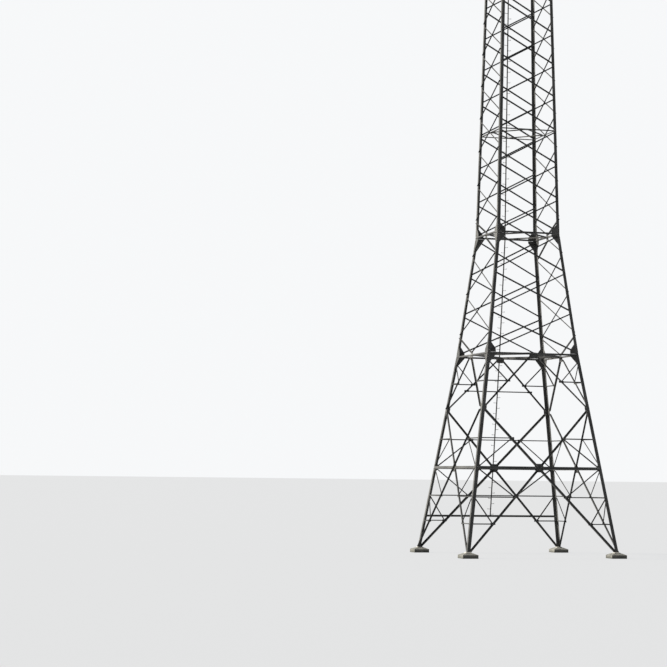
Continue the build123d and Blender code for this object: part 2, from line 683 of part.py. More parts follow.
def zigzag(start, end, bays, edge):
    """Bars from one chord to the other and back, between two distances along an arm."""
    stops = [start + (end - start) * step / bays for step in range(bays + 1)]
    side, bars = 1, []
    for near, far in zip(stops, stops[1:]):
        start, end = edge(near) - TIE_SIZE / 3, edge(far) - TIE_SIZE / 3
        bars.append((Vector(near, side * start), Vector(far, -side * end)))
        side = -side
    return bars


def floor_edge(reach):
    """Half the length of a cross member of an arm's floor."""
    return arm_half(reach) - ARM_WEB_SIZE - ARM_CHORD_THICKNESS - 3 * AIR


def roof_edge(run):
    """Half the length of a cross member of an arm's roof, at a distance down the slope."""
    return floor_edge(ARM_ROOT + run * math.cos(rake))


rake = math.atan2(PEAK_HEIGHT - HEAD_DEPTH, PEAK_REACH - ARM_ROOT)
with BuildPart() as arm_lacing:
    floor = Plane(origin=(0, 0, ARM_LEVEL + ARM_CHORD_THICKNESS))
    low_bars = zigzag(ARM_ROOT + SETBACK, hangers[-1], ARM_BAYS, floor_edge)
    lay_angles(floor, low_bars, TIE_SIZE, TIE_THICKNESS, 0, OUT)
    beams = [(Vector(at, -floor_edge(at)), Vector(at, floor_edge(at))) for at in hangers]
    lay_angles(floor, beams, BEAM_DEPTH, CROSS_THICKNESS, 0, OUT)
    under_chord = chord_rise(ARM_ROOT) - (half_chord - ARM_CHORD_THICKNESS) / math.cos(rake)
    roof = Plane(
        origin=(ARM_ROOT, 0, ARM_LEVEL + under_chord),
        x_dir=(math.cos(rake), 0, math.sin(rake)),
        z_dir=(-math.sin(rake), 0, math.cos(rake)),
    )
    length = (PEAK_REACH - ARM_ROOT) / math.cos(rake)
    top_bars = zigzag(SETBACK, length - SETBACK, ARM_BAYS - 2, roof_edge)
    lay_angles(roof, top_bars, TIE_SIZE, TIE_THICKNESS, 0, OUT)
    spike_at = length - BEAM_DEPTH
    beam = (Vector(spike_at, -roof_edge(spike_at)), Vector(spike_at, roof_edge(spike_at)))
    lay_angles(roof, [beam], BEAM_DEPTH, CROSS_THICKNESS, 0, OUT)
    spike_foot = roof.from_local_coords(Vector(spike_at, 0, 0))
    with BuildSketch(Plane(origin=spike_foot)) as spike:
        RegularPolygon(SPIKE_RADIUS, 8)
    extrude(spike.sketch, amount=SPIKE_HEIGHT)
for hand_name, hand_turn in (("right", 0.0), ("left", 180.0)):
    for row, flipped in (("front", False), ("back", True)):
        if hand_turn:
            flipped = not flipped
        with BuildPart() as arm_truss:
            if flipped:
                mirror(truss.part, about=Plane.XZ)
            else:
                add(truss.part)
        with BuildPart() as placed:
            add(arm_truss.part, rotation=(0, 0, hand_turn))
        finish(placed, f"crossarm_{hand_name}_{row}")
    with BuildPart() as placed:
        add(arm_lacing.part, rotation=(0, 0, hand_turn))
    finish(placed, f"crossarm_{hand_name}_lacing")

# Insulator sets: an eye, two long rods in line with fittings between, and a yoke over the clamps
string_top = ARM_LEVEL + ARM_CHORD_THICKNESS - EYE_HEIGHT
string_bottom = string_top - 3 * FITTING_LENGTH - 2 * STRING_LENGTH
with BuildPart() as insulators:
    for at in hangers:
        with Locations((at, 0, string_top + EYE_HEIGHT / 2)):
            Box(YOKE_THICKNESS, EYE_WIDTH, EYE_HEIGHT)
        level = string_top
        for radius, length in 2 * [(FITTING_RADIUS, FITTING_LENGTH), (STRING_RADIUS, STRING_LENGTH)]:
            level -= length
            with BuildSketch(Plane(origin=(at, 0, level))):
                RegularPolygon(radius, 8)
            extrude(amount=length)
        with BuildSketch(Plane(origin=(at, 0, string_bottom))):
            RegularPolygon(FITTING_RADIUS, 8)
        extrude(amount=FITTING_LENGTH)
    for reach in sets:
        yoke = Plane(origin=(reach, YOKE_THICKNESS / 2, string_bottom), x_dir=(1, 0, 0), z_dir=(0, -1, 0))
        half_spacing = STRING_SPACING / 2
        with BuildSketch(yoke):
            with BuildLine():
                Polyline(
                    (-half_spacing - YOKE_BAR / 2, 0),
                    (half_spacing + YOKE_BAR / 2, 0),
                    (half_spacing + YOKE_BAR / 2, -YOKE_BAR),
                    (YOKE_BAR, -YOKE_DROP),
                    (-YOKE_BAR, -YOKE_DROP),
                    (-half_spacing - YOKE_BAR / 2, -YOKE_BAR),
                    close=True,
                )
            make_face()
        extrude(amount=YOKE_THICKNESS)
        lowest = Vector(0, -BUNDLE_SPACING / math.sqrt(3))
        bundle = Vector(0, -YOKE_DROP - BUNDLE_SPACING / 4)
        clamps = [bundle + lowest.rotate(Axis.Z, turn) for turn in (0, 120, 240)]
        lay_outline(yoke, clamps, 0, YOKE_THICKNESS)
        with BuildSketch(yoke.offset((YOKE_THICKNESS - CLAMP_LENGTH) / 2)):
            with Locations(*[(spot.X, spot.Y) for spot in clamps]):
                RegularPolygon(CLAMP_RADIUS, 8)
        extrude(amount=CLAMP_LENGTH)
for hand_name, hand_turn in (("right", 0.0), ("left", 180.0)):
    with BuildPart() as placed:
        add(insulators.part, rotation=(0, 0, hand_turn))
    finish(placed, f"insulators_{hand_name}")
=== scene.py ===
"""Lattice pylon at 1:2: finishes, fastenings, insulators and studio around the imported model.

Lengths are in metres. The origin is on the ground under the middle of the tower, +Z is up, the
crossarms run along X and the line they carry runs along Y.
"""

import logging
import math
from collections.abc import Callable, Iterable, Sequence
from dataclasses import dataclass, field
from enum import Enum
from itertools import product

import bmesh
import bpy
from mathutils import Matrix, Vector
from mathutils.bvhtree import BVHTree


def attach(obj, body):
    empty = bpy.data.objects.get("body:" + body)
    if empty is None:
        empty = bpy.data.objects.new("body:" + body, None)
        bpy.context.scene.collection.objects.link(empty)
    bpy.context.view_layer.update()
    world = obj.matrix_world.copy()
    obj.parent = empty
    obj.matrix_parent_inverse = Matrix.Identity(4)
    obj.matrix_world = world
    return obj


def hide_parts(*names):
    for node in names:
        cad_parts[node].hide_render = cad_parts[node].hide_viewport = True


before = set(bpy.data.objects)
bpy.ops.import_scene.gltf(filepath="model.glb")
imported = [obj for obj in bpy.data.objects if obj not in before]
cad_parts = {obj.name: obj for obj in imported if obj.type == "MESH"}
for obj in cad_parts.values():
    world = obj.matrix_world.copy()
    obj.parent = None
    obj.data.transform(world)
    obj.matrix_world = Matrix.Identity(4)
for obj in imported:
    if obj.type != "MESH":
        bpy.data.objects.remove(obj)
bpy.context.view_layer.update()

BODY = "root"

# How far a washer looks for its seat, and how far out of flat the seat may be
SEARCH = 0.032
FLAT = 0.0006

# Bolts of light bars and of splices, as shares of the largest bolt
SMALL = 0.82
SPLICE = 0.80

# How far each bolt is turned from the one before it
TURN_STEP = 0.7

# Width of a hexagon over its flats, as a share of that over its corners
FLATS = 0.866

# A face looks a way if its normal has this share of it, and levels less apart than this are one
FACING = 0.99
LEVEL = 1e-6

# Edges that bend less than this are shaded smooth
SHALLOW = math.radians(35)

Pair = tuple[float, float]
Triple = tuple[float, float, float]
Colour = Triple
Socket = bpy.types.NodeSocket
Thing = bpy.types.Object
Bar = tuple[Vector, Vector]
Panels = Sequence[Pair]
Steps = Sequence[float]
log = logging.getLogger("pylon")


class Slot(Enum):
    """The record's material slots."""

    LEGS = "leg_steel"
    BRACES = "brace_steel"
    LADDER = "ladder_steel"
    GLAZE = "insulator_glaze"
    CONCRETE = "foundation_concrete"


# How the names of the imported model's nodes start, and the slot of those that do
NODE_SLOTS = {
    "foundation": Slot.CONCRETE,
    "leg": Slot.LEGS,
    "belt": Slot.LEGS,
    "knee_ring": Slot.LEGS,
    "waist_ring": Slot.LEGS,
    "ladder": Slot.LADDER,
    "insulators": Slot.GLAZE,
}


class Side(Enum):
    """The four sides of the tower, by the turn about Z that brings the front to them."""

    FRONT = 0.0
    RIGHT = 90.0
    BACK = 180.0
    LEFT = 270.0

    @property
    def turn(self) -> float:
        """The turn in radians."""
        return math.radians(self.value)


# The sides whose lacing stands half a panel lower
STAGGERED = (Side.RIGHT, Side.LEFT)


def hex_colour(code: str) -> Colour:
    """Turn a colour as a screen shows it into linear light.

    Args:
        code: Six hexadecimal digits.

    Returns:
        Red, green and blue in linear light.
    """
    shown = [int(code[at : at + 2], 16) / 255 for at in (0, 2, 4)]
    linear = [c / 12.92 if c <= 0.04045 else ((c + 0.055) / 1.055) ** 2.4 for c in shown]
    return (linear[0], linear[1], linear[2])


class Recipe:
    """A material in the making: its shader and short ways to join nodes to it."""

    def __init__(self, name: str) -> None:
        """Start a material with a plain shader.

        Args:
            name: The material's name.
        """
        self.material = bpy.data.materials.new(name)
        self.material.use_nodes = True
        self.tree = self.material.node_tree
        self.shader = self.tree.nodes["Principled BSDF"]
        self.place = self.add("ShaderNodeTexCoord").outputs["Object"]

    def add(self, kind: str) -> bpy.types.Node:
        """Add a node of a kind and return it."""
        return self.tree.nodes.new(kind)

    def join(self, source: Socket, target: Socket) -> None:
        """Link two sockets."""
        self.tree.links.new(source, target)

    def noise(self, scale: float, detail: float = 4.0, stretch: Triple = (1.0, 1.0, 1.0)) -> Socket:
        """Add a cloudy pattern over the object.

        Args:
            scale: Patches to the metre.
            detail: Number of finer layers.
            stretch: Factor on each axis, small along the axis that the patches are long on.

        Returns:
            The pattern's strength.
        """
        mapping = self.add("ShaderNodeMapping")
        mapping.inputs["Scale"].default_value = stretch
        self.join(self.place, mapping.inputs["Vector"])
        noise = self.add("ShaderNodeTexNoise")
        noise.inputs["Scale"].default_value = scale
        noise.inputs["Detail"].default_value = detail
        self.join(mapping.outputs["Vector"], noise.inputs["Vector"])
        return noise.outputs["Fac"]

    def cells(self, scale: float) -> Socket:
        """Add a pattern of small cells, each with its own strength.

        Args:
            scale: Cells to the metre, about.

        Returns:
            The cells' strength.
        """
        cells = self.add("ShaderNodeTexVoronoi")
        cells.inputs["Scale"].default_value = scale
        self.join(self.place, cells.inputs["Vector"])
        split = self.add("ShaderNodeSeparateColor")
        self.join(cells.outputs["Color"], split.inputs["Color"])
        return split.outputs["Red"]

    def ramp(self, source: Socket, stops: Sequence[tuple[float, Colour]]) -> Socket:
        """Turn a strength into a colour.

        Args:
            source: The strength.
            stops: Strengths and the colours there, lowest first.

        Returns:
            The colour.
        """
        node = self.add("ShaderNodeValToRGB")
        band = node.color_ramp.elements
        while len(band) < len(stops):
            band.new(0.5)
        for element, (at, colour) in zip(band, stops):
            element.position = at
            element.color = (*colour, 1.0)
        self.join(source, node.inputs["Fac"])
        return node.outputs["Color"]

    def span(self, source: Socket, band: Pair, result: Pair = (0.0, 1.0)) -> Socket:
        """Stretch a strength to another range, held at its ends.

        Args:
            source: The strength.
            band: The strengths that become the ends of the new range.
            result: The new range.

        Returns:
            The stretched strength.
        """
        node = self.add("ShaderNodeMapRange")
        for name, value in zip(("From Min", "From Max", "To Min", "To Max"), (*band, *result)):
            node.inputs[name].default_value = value
        self.join(source, node.inputs["Value"])
        return node.outputs["Result"]

    def mix(self, share: Socket, first: Socket | Colour, second: Socket | Colour) -> Socket:
        """Mix two colours by a strength.

        Args:
            share: How much of the second colour shows.
            first: The colour where the strength is nought.
            second: The colour where the strength is one.

        Returns:
            The mixed colour.
        """
        node = self.add("ShaderNodeMix")
        node.data_type = "RGBA"
        self.join(share, node.inputs["Factor"])
        for name, colour in (("A", first), ("B", second)):
            socket = next(s for s in node.inputs if s.name == name and s.type == "RGBA")
            if isinstance(colour, tuple):
                socket.default_value = (*colour, 1.0)
            else:
                self.join(colour, socket)
        return next(s for s in node.outputs if s.type == "RGBA")

    def bump(self, layers: Sequence[tuple[Socket, float]]) -> None:
        """Roughen the surface.

        Args:
            layers: Patterns with their depth in metres, the first one lowest.
        """
        normal = None
        for source, depth in layers:
            node = self.add("ShaderNodeBump")
            node.inputs["Distance"].default_value = depth
            self.join(source, node.inputs["Height"])
            if normal is not None:
                self.join(normal, node.inputs["Normal"])
            normal = node.outputs["Normal"]
        self.join(normal, self.shader.inputs["Normal"])

    def height(self) -> Socket:
        """Read the height over the ground.

        Returns:
            The height of the point that is shaded.
        """
        split = self.add("ShaderNodeSeparateXYZ")
        self.join(self.place, split.inputs["Vector"])
        return split.outputs["Z"]


@dataclass(frozen=True)
class Steel:
    """Zinc-coated angle steel under many years of weather."""

    name: str
    body: str = "555656"
    dull: str = "404141"
    pale: str = "757676"
    stain: str = "463d35"
    metallic: float = 0.0
    gloss: float = 0.14
    roughness: Pair = (0.44, 0.66)
    cloud_scale: float = 1.7
    spangle_scale: float = 110.0
    spangle_share: float = 0.28
    streak_scale: float = 26.0
    streak_stretch: Triple = (1.0, 1.0, 0.09)
    streak_share: float = 0.5
    tone_stops: Triple = (0.30, 0.52, 0.74)
    streak_band: Pair = (0.55, 0.78)
    stain_band: Pair = (0.62, 0.74)
    polish_band: Pair = (0.3, 0.75)
    stain_scale: float = 7.5
    stain_share: float = 0.55
    grain_scale: float = 240.0
    grain_depth: float = 0.0004
    cloud_depth: float = 0.0012

    def make(self) -> bpy.types.Material:
        """Build the finish: clouded zinc, streaks down the bars, small stains and a fine grain.

        Returns:
            The material.
        """
        recipe = Recipe(self.name)
        body, dull, pale = hex_colour(self.body), hex_colour(self.dull), hex_colour(self.pale)
        inputs = recipe.shader.inputs
        clouds = recipe.noise(self.cloud_scale, detail=5.0)
        spangle = recipe.span(recipe.cells(self.spangle_scale), (0.0, 1.0), (0.0, self.spangle_share))
        streaks = recipe.noise(self.streak_scale, detail=3.0, stretch=self.streak_stretch)
        runs = recipe.span(streaks, self.streak_band, (0.0, self.streak_share))
        stains = recipe.noise(self.stain_scale, detail=8.0)
        rust = recipe.span(stains, self.stain_band, (0.0, self.stain_share))
        tone = recipe.ramp(clouds, list(zip(self.tone_stops, (dull, body, pale))))
        worn = recipe.mix(runs, recipe.mix(spangle, tone, pale), dull)
        recipe.join(recipe.mix(rust, worn, hex_colour(self.stain)), inputs["Base Color"])
        recipe.join(recipe.span(clouds, self.polish_band, self.roughness), inputs["Roughness"])
        inputs["Metallic"].default_value = self.metallic
        inputs["Specular IOR Level"].default_value = self.gloss
        grain = recipe.noise(self.grain_scale, detail=3.0)
        recipe.bump(((grain, self.grain_depth), (clouds, self.cloud_depth)))
        return recipe.material


@dataclass(frozen=True)
class Concrete:
    """Cast concrete: sandy, pitted, darker towards the ground, partly from damp rising from it and
    partly as painted shade on the caps' sides.
    """

    name: str
    body: str = "7c7d79"
    pale: str = "9c9c97"
    # Colour of the lichen and of the dark band at the foot; that band is partly damp and partly painted
    # shade on the caps' sides
    stain_and_shade: str = "3b3d37"
    damp_and_shade_height: float = 0.12
    damp_and_shade_share: float = 0.85
    roughness: Pair = (0.78, 0.95)
    cloud_band: Pair = (0.35, 0.65)
    lichen_band: Pair = (0.6, 0.7)
    sand_band: Pair = (0.3, 0.7)
    cloud_scale: float = 5.0
    sand_scale: float = 130.0
    sand_depth: float = 0.002
    lichen_scale: float = 16.0
    lichen_share: float = 0.6
    pore_scale: float = 28.0
    pore_depth: float = 0.004

    def make(self) -> bpy.types.Material:
        """Build the finish: sandy mottling, lichen, pores, a dark foot that is partly damp and partly
        painted shade, and a gritty surface.

        Returns:
            The material.
        """
        recipe = Recipe(self.name)
        body, pale, stain_and_shade = hex_colour(self.body), hex_colour(self.pale), hex_colour(self.stain_and_shade)
        clouds = recipe.noise(self.cloud_scale, detail=6.0)
        sand = recipe.noise(self.sand_scale, detail=5.0)
        tone = recipe.mix(recipe.span(clouds, self.cloud_band), body, pale)
        # Painted shade in part: the faces darken towards the ground, partly for damp and partly for the
        # shade on the caps' sides
        damp_and_painted_shade = recipe.span(recipe.height(), (0.0, self.damp_and_shade_height), (self.damp_and_shade_share, 0.0))
        patches = recipe.noise(self.lichen_scale, detail=7.0)
        lichen = recipe.span(patches, self.lichen_band, (0.0, self.lichen_share))
        dirty = recipe.mix(lichen, tone, stain_and_shade)
        recipe.join(recipe.mix(damp_and_painted_shade, dirty, stain_and_shade), recipe.shader.inputs["Base Color"])
        rough = recipe.span(sand, self.sand_band, self.roughness)
        recipe.join(rough, recipe.shader.inputs["Roughness"])
        pores = recipe.noise(self.pore_scale, detail=6.0)
        recipe.bump(((sand, self.sand_depth), (pores, self.pore_depth)))
        return recipe.material


@dataclass(frozen=True)
class Glaze:
    """Brown glazed porcelain with a little dust on it."""

    name: str
    body: str = "4a2a1c"
    deep: str = "2f1a12"
    dust: str = "7d7266"
    dust_share: float = 0.35
    dust_scale: float = 5.0
    pool_scale: float = 14.0
    pool_band: Pair = (0.35, 0.65)
    dust_band: Pair = (0.5, 0.8)
    roughness: Pair = (0.14, 0.5)
    coat: float = 0.4
    coat_roughness: float = 0.08
    ripple_scale: float = 60.0
    ripple_depth: float = 0.0006

    def make(self) -> bpy.types.Material:
        """Build the finish: a deep glaze, thicker in places, under a thin film of dust.

        Returns:
            The material.
        """
        recipe = Recipe(self.name)
        inputs = recipe.shader.inputs
        pools = recipe.span(recipe.noise(self.pool_scale), self.pool_band)
        tone = recipe.mix(pools, hex_colour(self.body), hex_colour(self.deep))
        dust = recipe.noise(self.dust_scale, detail=6.0)
        film = recipe.span(dust, self.dust_band, (0.0, self.dust_share))
        recipe.join(recipe.mix(film, tone, hex_colour(self.dust)), inputs["Base Color"])
        rough = recipe.span(film, (0.0, self.dust_share), self.roughness)
        recipe.join(rough, inputs["Roughness"])
        inputs["Coat Weight"].default_value = self.coat
        inputs["Coat Roughness"].default_value = self.coat_roughness
        recipe.bump(((recipe.noise(self.ripple_scale, detail=2.0), self.ripple_depth),))
        return recipe.material


@dataclass
class Finishes:
    """Every finish of the tower, made once."""

    made: dict[Slot, bpy.types.Material] = field(default_factory=dict)
    zinc: bpy.types.Material = field(init=False)
    mortar: bpy.types.Material = field(init=False)
    cast_edge: float = 0.008

    def __post_init__(self) -> None:
        """Make the finish of each slot, and those of fastenings and mortar."""
        steels = {
            Slot.LEGS: Steel("leg_steel"),
            # Painted shade: the braces take a darker copy of the legs' weathered zinc, so the lacing
            # reads as shaded and the legs, belts and rings as lit
            Slot.BRACES: Steel("brace_steel", "3f4040", "303131", "5a5b5b"),
            Slot.LADDER: Steel("ladder_steel", "484949", "363737", "646565", "443b34"),
        }
        for slot, steel in steels.items():
            self.made[slot] = steel.make()
        self.made[Slot.GLAZE] = Glaze("insulator_glaze").make()
        self.zinc = Steel("fastener_zinc", "8e9090", "6c6e6e", "b2b4b4", gloss=0.4).make()
        self.made[Slot.CONCRETE] = Concrete("foundation_concrete").make()
        self.mortar = Concrete("pedestal_mortar", "b4b3ae", "cfcec8", "8c8b84").make()

    def of_node(self, node: str) -> Slot:
        """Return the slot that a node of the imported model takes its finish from."""
        fitting = (slot for start, slot in NODE_SLOTS.items() if node.startswith(start))
        return next(fitting, Slot.BRACES)

    def round_edges(self, thing: Thing) -> None:
        """Round the edges of a cast cap.

        Args:
            thing: The cap.
        """
        rounding = thing.modifiers.new("rounded_edges", "BEVEL")
        rounding.width = self.cast_edge
        rounding.segments = 3
        rounding.limit_method = "ANGLE"

    def dress_nodes(self) -> None:
        """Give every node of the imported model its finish."""
        for name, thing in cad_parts.items():
            slot = self.of_node(name)
            if slot is Slot.CONCRETE:
                self.round_edges(thing)
            if not thing.data.materials:
                thing.data.materials.append(self.made[slot])
            for holder in thing.material_slots:
                holder.material = self.made[slot]
            log.info("%s takes %s", name, slot.value)


@dataclass(frozen=True)
class Stage:
    """One straight stage of the tower, from one bend of the legs to the next."""

    low: float
    high: float
    low_width: float
    high_width: float
    leg_size: float
    leg_thickness: float
    cap_height: float = 0.150

    @property
    def slope(self) -> float:
        """How far a side leans in for each metre of height."""
        return (self.low_width - self.high_width) / 2 / (self.high - self.low)

    @property
    def lean(self) -> float:
        """The angle of a side's lean."""
        return math.atan(self.slope)

    @property
    def plate(self) -> float:
        """Thickness of a leg's flange, square to its side."""
        return self.leg_thickness * math.cos(self.lean)

    def gauge(self, height: float) -> float:
        """Distance from the middle of a side to the middle of a leg's flange."""
        return self.low_width / 2 - (height - self.low) * self.slope - self.leg_size / 2

    def spot(self, across: float, height: float) -> Vector:
        """A point of a side as seen on its face, from the middle of the lower edge."""
        return Vector((across, (height - self.low) / math.cos(self.lean)))

    def bar(self, from_across: float, from_height: float, to_across: float, to_height: float) -> Bar:
        """The two ends of a bar on a side."""
        return self.spot(from_across, from_height), self.spot(to_across, to_height)

    def crossed(self, panels: Panels) -> list[tuple[Bar, Bar]]:
        """Find the bars of the crossed panels of a side.

        Args:
            panels: Heights between which each cross stands.

        Returns:
            The rising and the falling bar of each cross.
        """
        found = []
        for low, high in panels:
            at_low, at_high = self.gauge(low), self.gauge(high)
            found.append((self.bar(-at_low, low, at_high, high), self.bar(at_low, low, -at_high, high)))
        return found

    def face(self, side: Side) -> Matrix:
        """Find where a side's outer face lies.

        Args:
            side: The side.

        Returns:
            The placing whose x runs across the side, y up its slope and z outwards.
        """
        sine, cosine = math.sin(self.lean), math.cos(self.lean)
        rows = (
            (1.0, 0.0, 0.0, 0.0),
            (0.0, sine, -cosine, -self.low_width / 2),
            (0.0, cosine, sine, self.cap_height + self.low),
            (0.0, 0.0, 0.0, 1.0),
        )
        return Matrix.Rotation(side.turn, 4, "Z") @ Matrix(rows)


@dataclass(frozen=True)
class ArmSizes:
    """Reaches and rises of the crossarms, measured from the middle of the tower."""

    root: float = 0.6925
    tip_half: float = 0.250
    tip_reach: float = 9.350
    inner: float = 3.100
    mid_node: float = 4.600
    middle: float = 6.150
    peak_reach: float = 7.700
    outer: float = 8.870
    peak_rise: float = 1.050
    depth: float = 1.500
    level: float = 21.075
    chord_size: float = 0.070
    chord_thickness: float = 0.006
    string_spacing: float = 0.600
    beam_depth: float = 0.060
    root_gap: float = 0.006

    @property
    def half_chord(self) -> float:
        """Half the width of a chord."""
        return self.chord_size / 2

    @property
    def turn(self) -> float:
        """The angle by which a truss turns in towards the tip."""
        return math.atan((self.root - self.tip_half) / (self.tip_reach - self.root))

    @property
    def rake(self) -> float:
        """The angle by which the top chords fall."""
        return math.atan2(self.peak_rise - self.depth, self.peak_reach - self.root)

    @property
    def hangers(self) -> list[float]:
        """Reaches of the strings."""
        half = self.string_spacing / 2
        return [reach + hand * half for reach in self.sets for hand in (-1, 1)]

    @property
    def sets(self) -> tuple[float, float, float]:
        """Reaches of the insulator sets."""
        return self.inner, self.middle, self.outer

    def along(self, reach: float) -> float:
        """Distance along a truss for a reach."""
        return (reach - self.root) / math.cos(self.turn)

    def chord_rise(self, reach: float) -> float:
        """Find how high the top chord's middle lies over the underside of the arm.

        Args:
            reach: Distance from the middle of the tower.

        Returns:
            The height, that of the bottom chord's middle beyond the peak.
        """
        if reach > self.peak_reach:
            return self.half_chord
        share = (reach - self.root) / (self.peak_reach - self.root)
        return self.depth - self.half_chord + share * (self.peak_rise - self.depth)

    def webs(self) -> list[Bar]:
        """Find the bars and posts between a truss's chords.

        Returns:
            The bars, as seen on the truss's face.
        """
        low = self.half_chord
        inner, middle = (Vector((self.along(reach), low)) for reach in (self.inner, self.middle))
        crest, peak = (
            Vector((self.along(reach), self.chord_rise(reach)))
            for reach in (self.mid_node, self.peak_reach)
        )
        apex = Vector((self.root_gap, self.chord_rise(self.root)))
        posts = [(Vector((top.x, low)), top) for top in (crest, peak)]
        return [(apex, inner), (crest, middle), (inner, crest), (middle, peak), *posts]

    def face(self, turn: float, mirrored: bool) -> Matrix:
        """Find where a truss's outer face lies.

        Args:
            turn: Turn about Z of the arm.
            mirrored: Whether the truss mirrors the one in front of the right arm.

        Returns:
            The placing whose x runs along the truss, y upwards and z outwards.
        """
        sine, cosine = math.sin(self.turn), math.cos(self.turn)
        rows = (
            (cosine, 0.0, sine, self.root),
            (sine, 0.0, -cosine, -self.root),
            (0.0, 1.0, 0.0, self.level),
            (0.0, 0.0, 0.0, 1.0),
        )
        flat = Matrix(rows)
        if mirrored:
            flat = Matrix.Diagonal((1, -1, 1, 1)) @ flat @ Matrix.Diagonal((-1, 1, 1, 1))
        return Matrix.Rotation(turn, 4, "Z") @ flat


def graded(stage: Stage, count: int, ratio: float) -> list[float]:
    """Find the panel joints of a stage.

    Args:
        stage: The stage.
        count: Number of its panels.
        ratio: Height of a panel as a share of the one below.

    Returns:
        The joints' heights, those of both ends among them.
    """
    first = (stage.high - stage.low) * (1 - ratio) / (1 - ratio**count)
    return [stage.low + first * (1 - ratio**step) / (1 - ratio) for step in range(count + 1)]


@dataclass(frozen=True)
class Layout:
    """The heights, widths and bar sizes that the whole tower shares."""

    base_width: float = 4.650
    knee_width: float = 2.836
    waist_width: float = 1.960
    head_width: float = 1.385
    cross_top: float = 4.190
    knee: float = 5.825
    waist: float = 9.405
    arm: float = 20.925
    head_depth: float = 1.500
    first_tie: float = 0.830
    second_tie: float = 1.600
    third_tie: float = 3.305
    fourth_tie: float = 4.985
    joint_rise: float = 0.050
    waist_rise: float = 0.100
    head_rise: float = 0.125
    ring_depth: float = 0.048
    rafter_tie_drop: float = 0.235
    air: float = 0.003
    lacing_thickness: float = 0.004
    cross_thickness: float = 0.005
    tie_thickness: float = 0.003
    ring_shelf_plate: float = 0.090
    neck_panels: int = 3
    neck_ratio: float = 0.96
    shaft_panels: int = 12
    shaft_ratio: float = 0.981
    foot_leg: Pair = (0.100, 0.010)
    body_leg: Pair = (0.090, 0.008)
    ladder_beam: float = 0.960
    apron_tie: float = 4.790
    cover_thickness: float = 0.005
    ladder_face: float = 0.067
    stem_face: float = 0.092
    collar_panel: int = 3
    arm_sizes: ArmSizes = ArmSizes()

    @property
    def foot(self) -> Stage:
        """The spread foot."""
        return Stage(0.0, self.knee, self.base_width, self.knee_width, *self.foot_leg)

    @property
    def neck(self) -> Stage:
        """The neck between knee and waist."""
        return Stage(self.knee, self.waist, self.knee_width, self.waist_width, *self.body_leg)

    @property
    def shaft(self) -> Stage:
        """The slim shaft between the waist and the crossarms."""
        return Stage(self.waist, self.arm, self.waist_width, self.head_width, *self.body_leg)

    @property
    def head(self) -> Stage:
        """The upright head that the crossarms pass through."""
        top = self.arm + self.head_depth
        return Stage(self.arm, top, self.head_width, self.head_width, *self.body_leg)

    @property
    def neck_joints(self) -> list[float]:
        """Heights of the panel joints of the neck."""
        return graded(self.neck, self.neck_panels, self.neck_ratio)

    @property
    def shaft_joints(self) -> list[float]:
        """Heights of the panel joints of the shaft."""
        return graded(self.shaft, self.shaft_panels, self.shaft_ratio)

    @property
    def bends(self) -> list[tuple[float, Stage, int]]:
        """The stages at the legs' bends, each with its bend's height and the way it leads from it."""
        knee = [(self.knee, self.foot, -1), (self.knee, self.neck, 1)]
        return [*knee, (self.waist, self.neck, -1), (self.waist, self.shaft, 1)]

    @property
    def collar(self) -> float:
        """Height of the collar ring."""
        return self.shaft_joints[self.collar_panel]

    @property
    def laced(self) -> list[tuple[Stage, list[float], float]]:
        """The laced stages, each with its joints and the rise of its first bars."""
        neck = (self.neck, self.neck_joints, self.joint_rise)
        return [neck, (self.shaft, self.shaft_joints, self.waist_rise)]

    @property
    def brace_ties(self) -> tuple[float, float, float]:
        """Heights of the ties that hold the great braces to the legs."""
        return self.first_tie, self.second_tie, self.third_tie

    @property
    def knee_belt(self) -> float:
        """Height of the middle of the knee's belts."""
        return self.knee - self.air - self.ring_depth / 2

    @property
    def waist_belt(self) -> float:
        """Height of the middle of the waist's belts."""
        return self.waist + self.air + self.ring_depth / 2

    @property
    def head_chords(self) -> tuple[float, float]:
        """Heights of the middles of the arms' chords over the foot of the head."""
        return self.arm_sizes.half_chord, self.head_depth - self.arm_sizes.half_chord

    def at_leg(self, hand: int, height: float) -> Vector:
        """A point of the foot's leg on a side, in the middle of its flange."""
        return self.foot.spot(hand * self.foot.gauge(height), height)

    def great_brace(self, hand: int, height: float) -> Vector:
        """A point of the great brace that starts at the leg on a hand."""
        low, high, share = self.foot.gauge(0), self.foot.gauge(self.cross_top), height / self.cross_top
        return self.foot.spot(hand * (low - share * (low + high)), height)

    def rafter(self, hand: int, height: float) -> Vector:
        """A point of an apron's rafter, which leads to the middle of the knee."""
        share = (self.knee - height) / (self.knee - self.cross_top)
        return self.foot.spot(hand * self.foot.gauge(self.cross_top) * share, height)

    def panels(self, joints: Steps, first_rise: float) -> list[Pair]:
        """Panels between joints as pairs of heights, with the bars' ends held off each joint."""
        lows = [joints[0] + first_rise] + [joint + self.joint_rise for joint in joints[1:-1]]
        return list(zip(lows, [joint - self.joint_rise for joint in joints[1:]]))


def meet(first: Bar, second: Bar) -> Vector:
    """Find where two bars cross on their face.

    Args:
        first: One bar.
        second: The other bar.

    Returns:
        The crossing.
    """
    (a, b), (c, d) = first, second
    run, other = b - a, d - c
    share = ((c.x - a.x) * other.y - (c.y - a.y) * other.x) / (run.x * other.y - run.y * other.x)
    return a + run * share


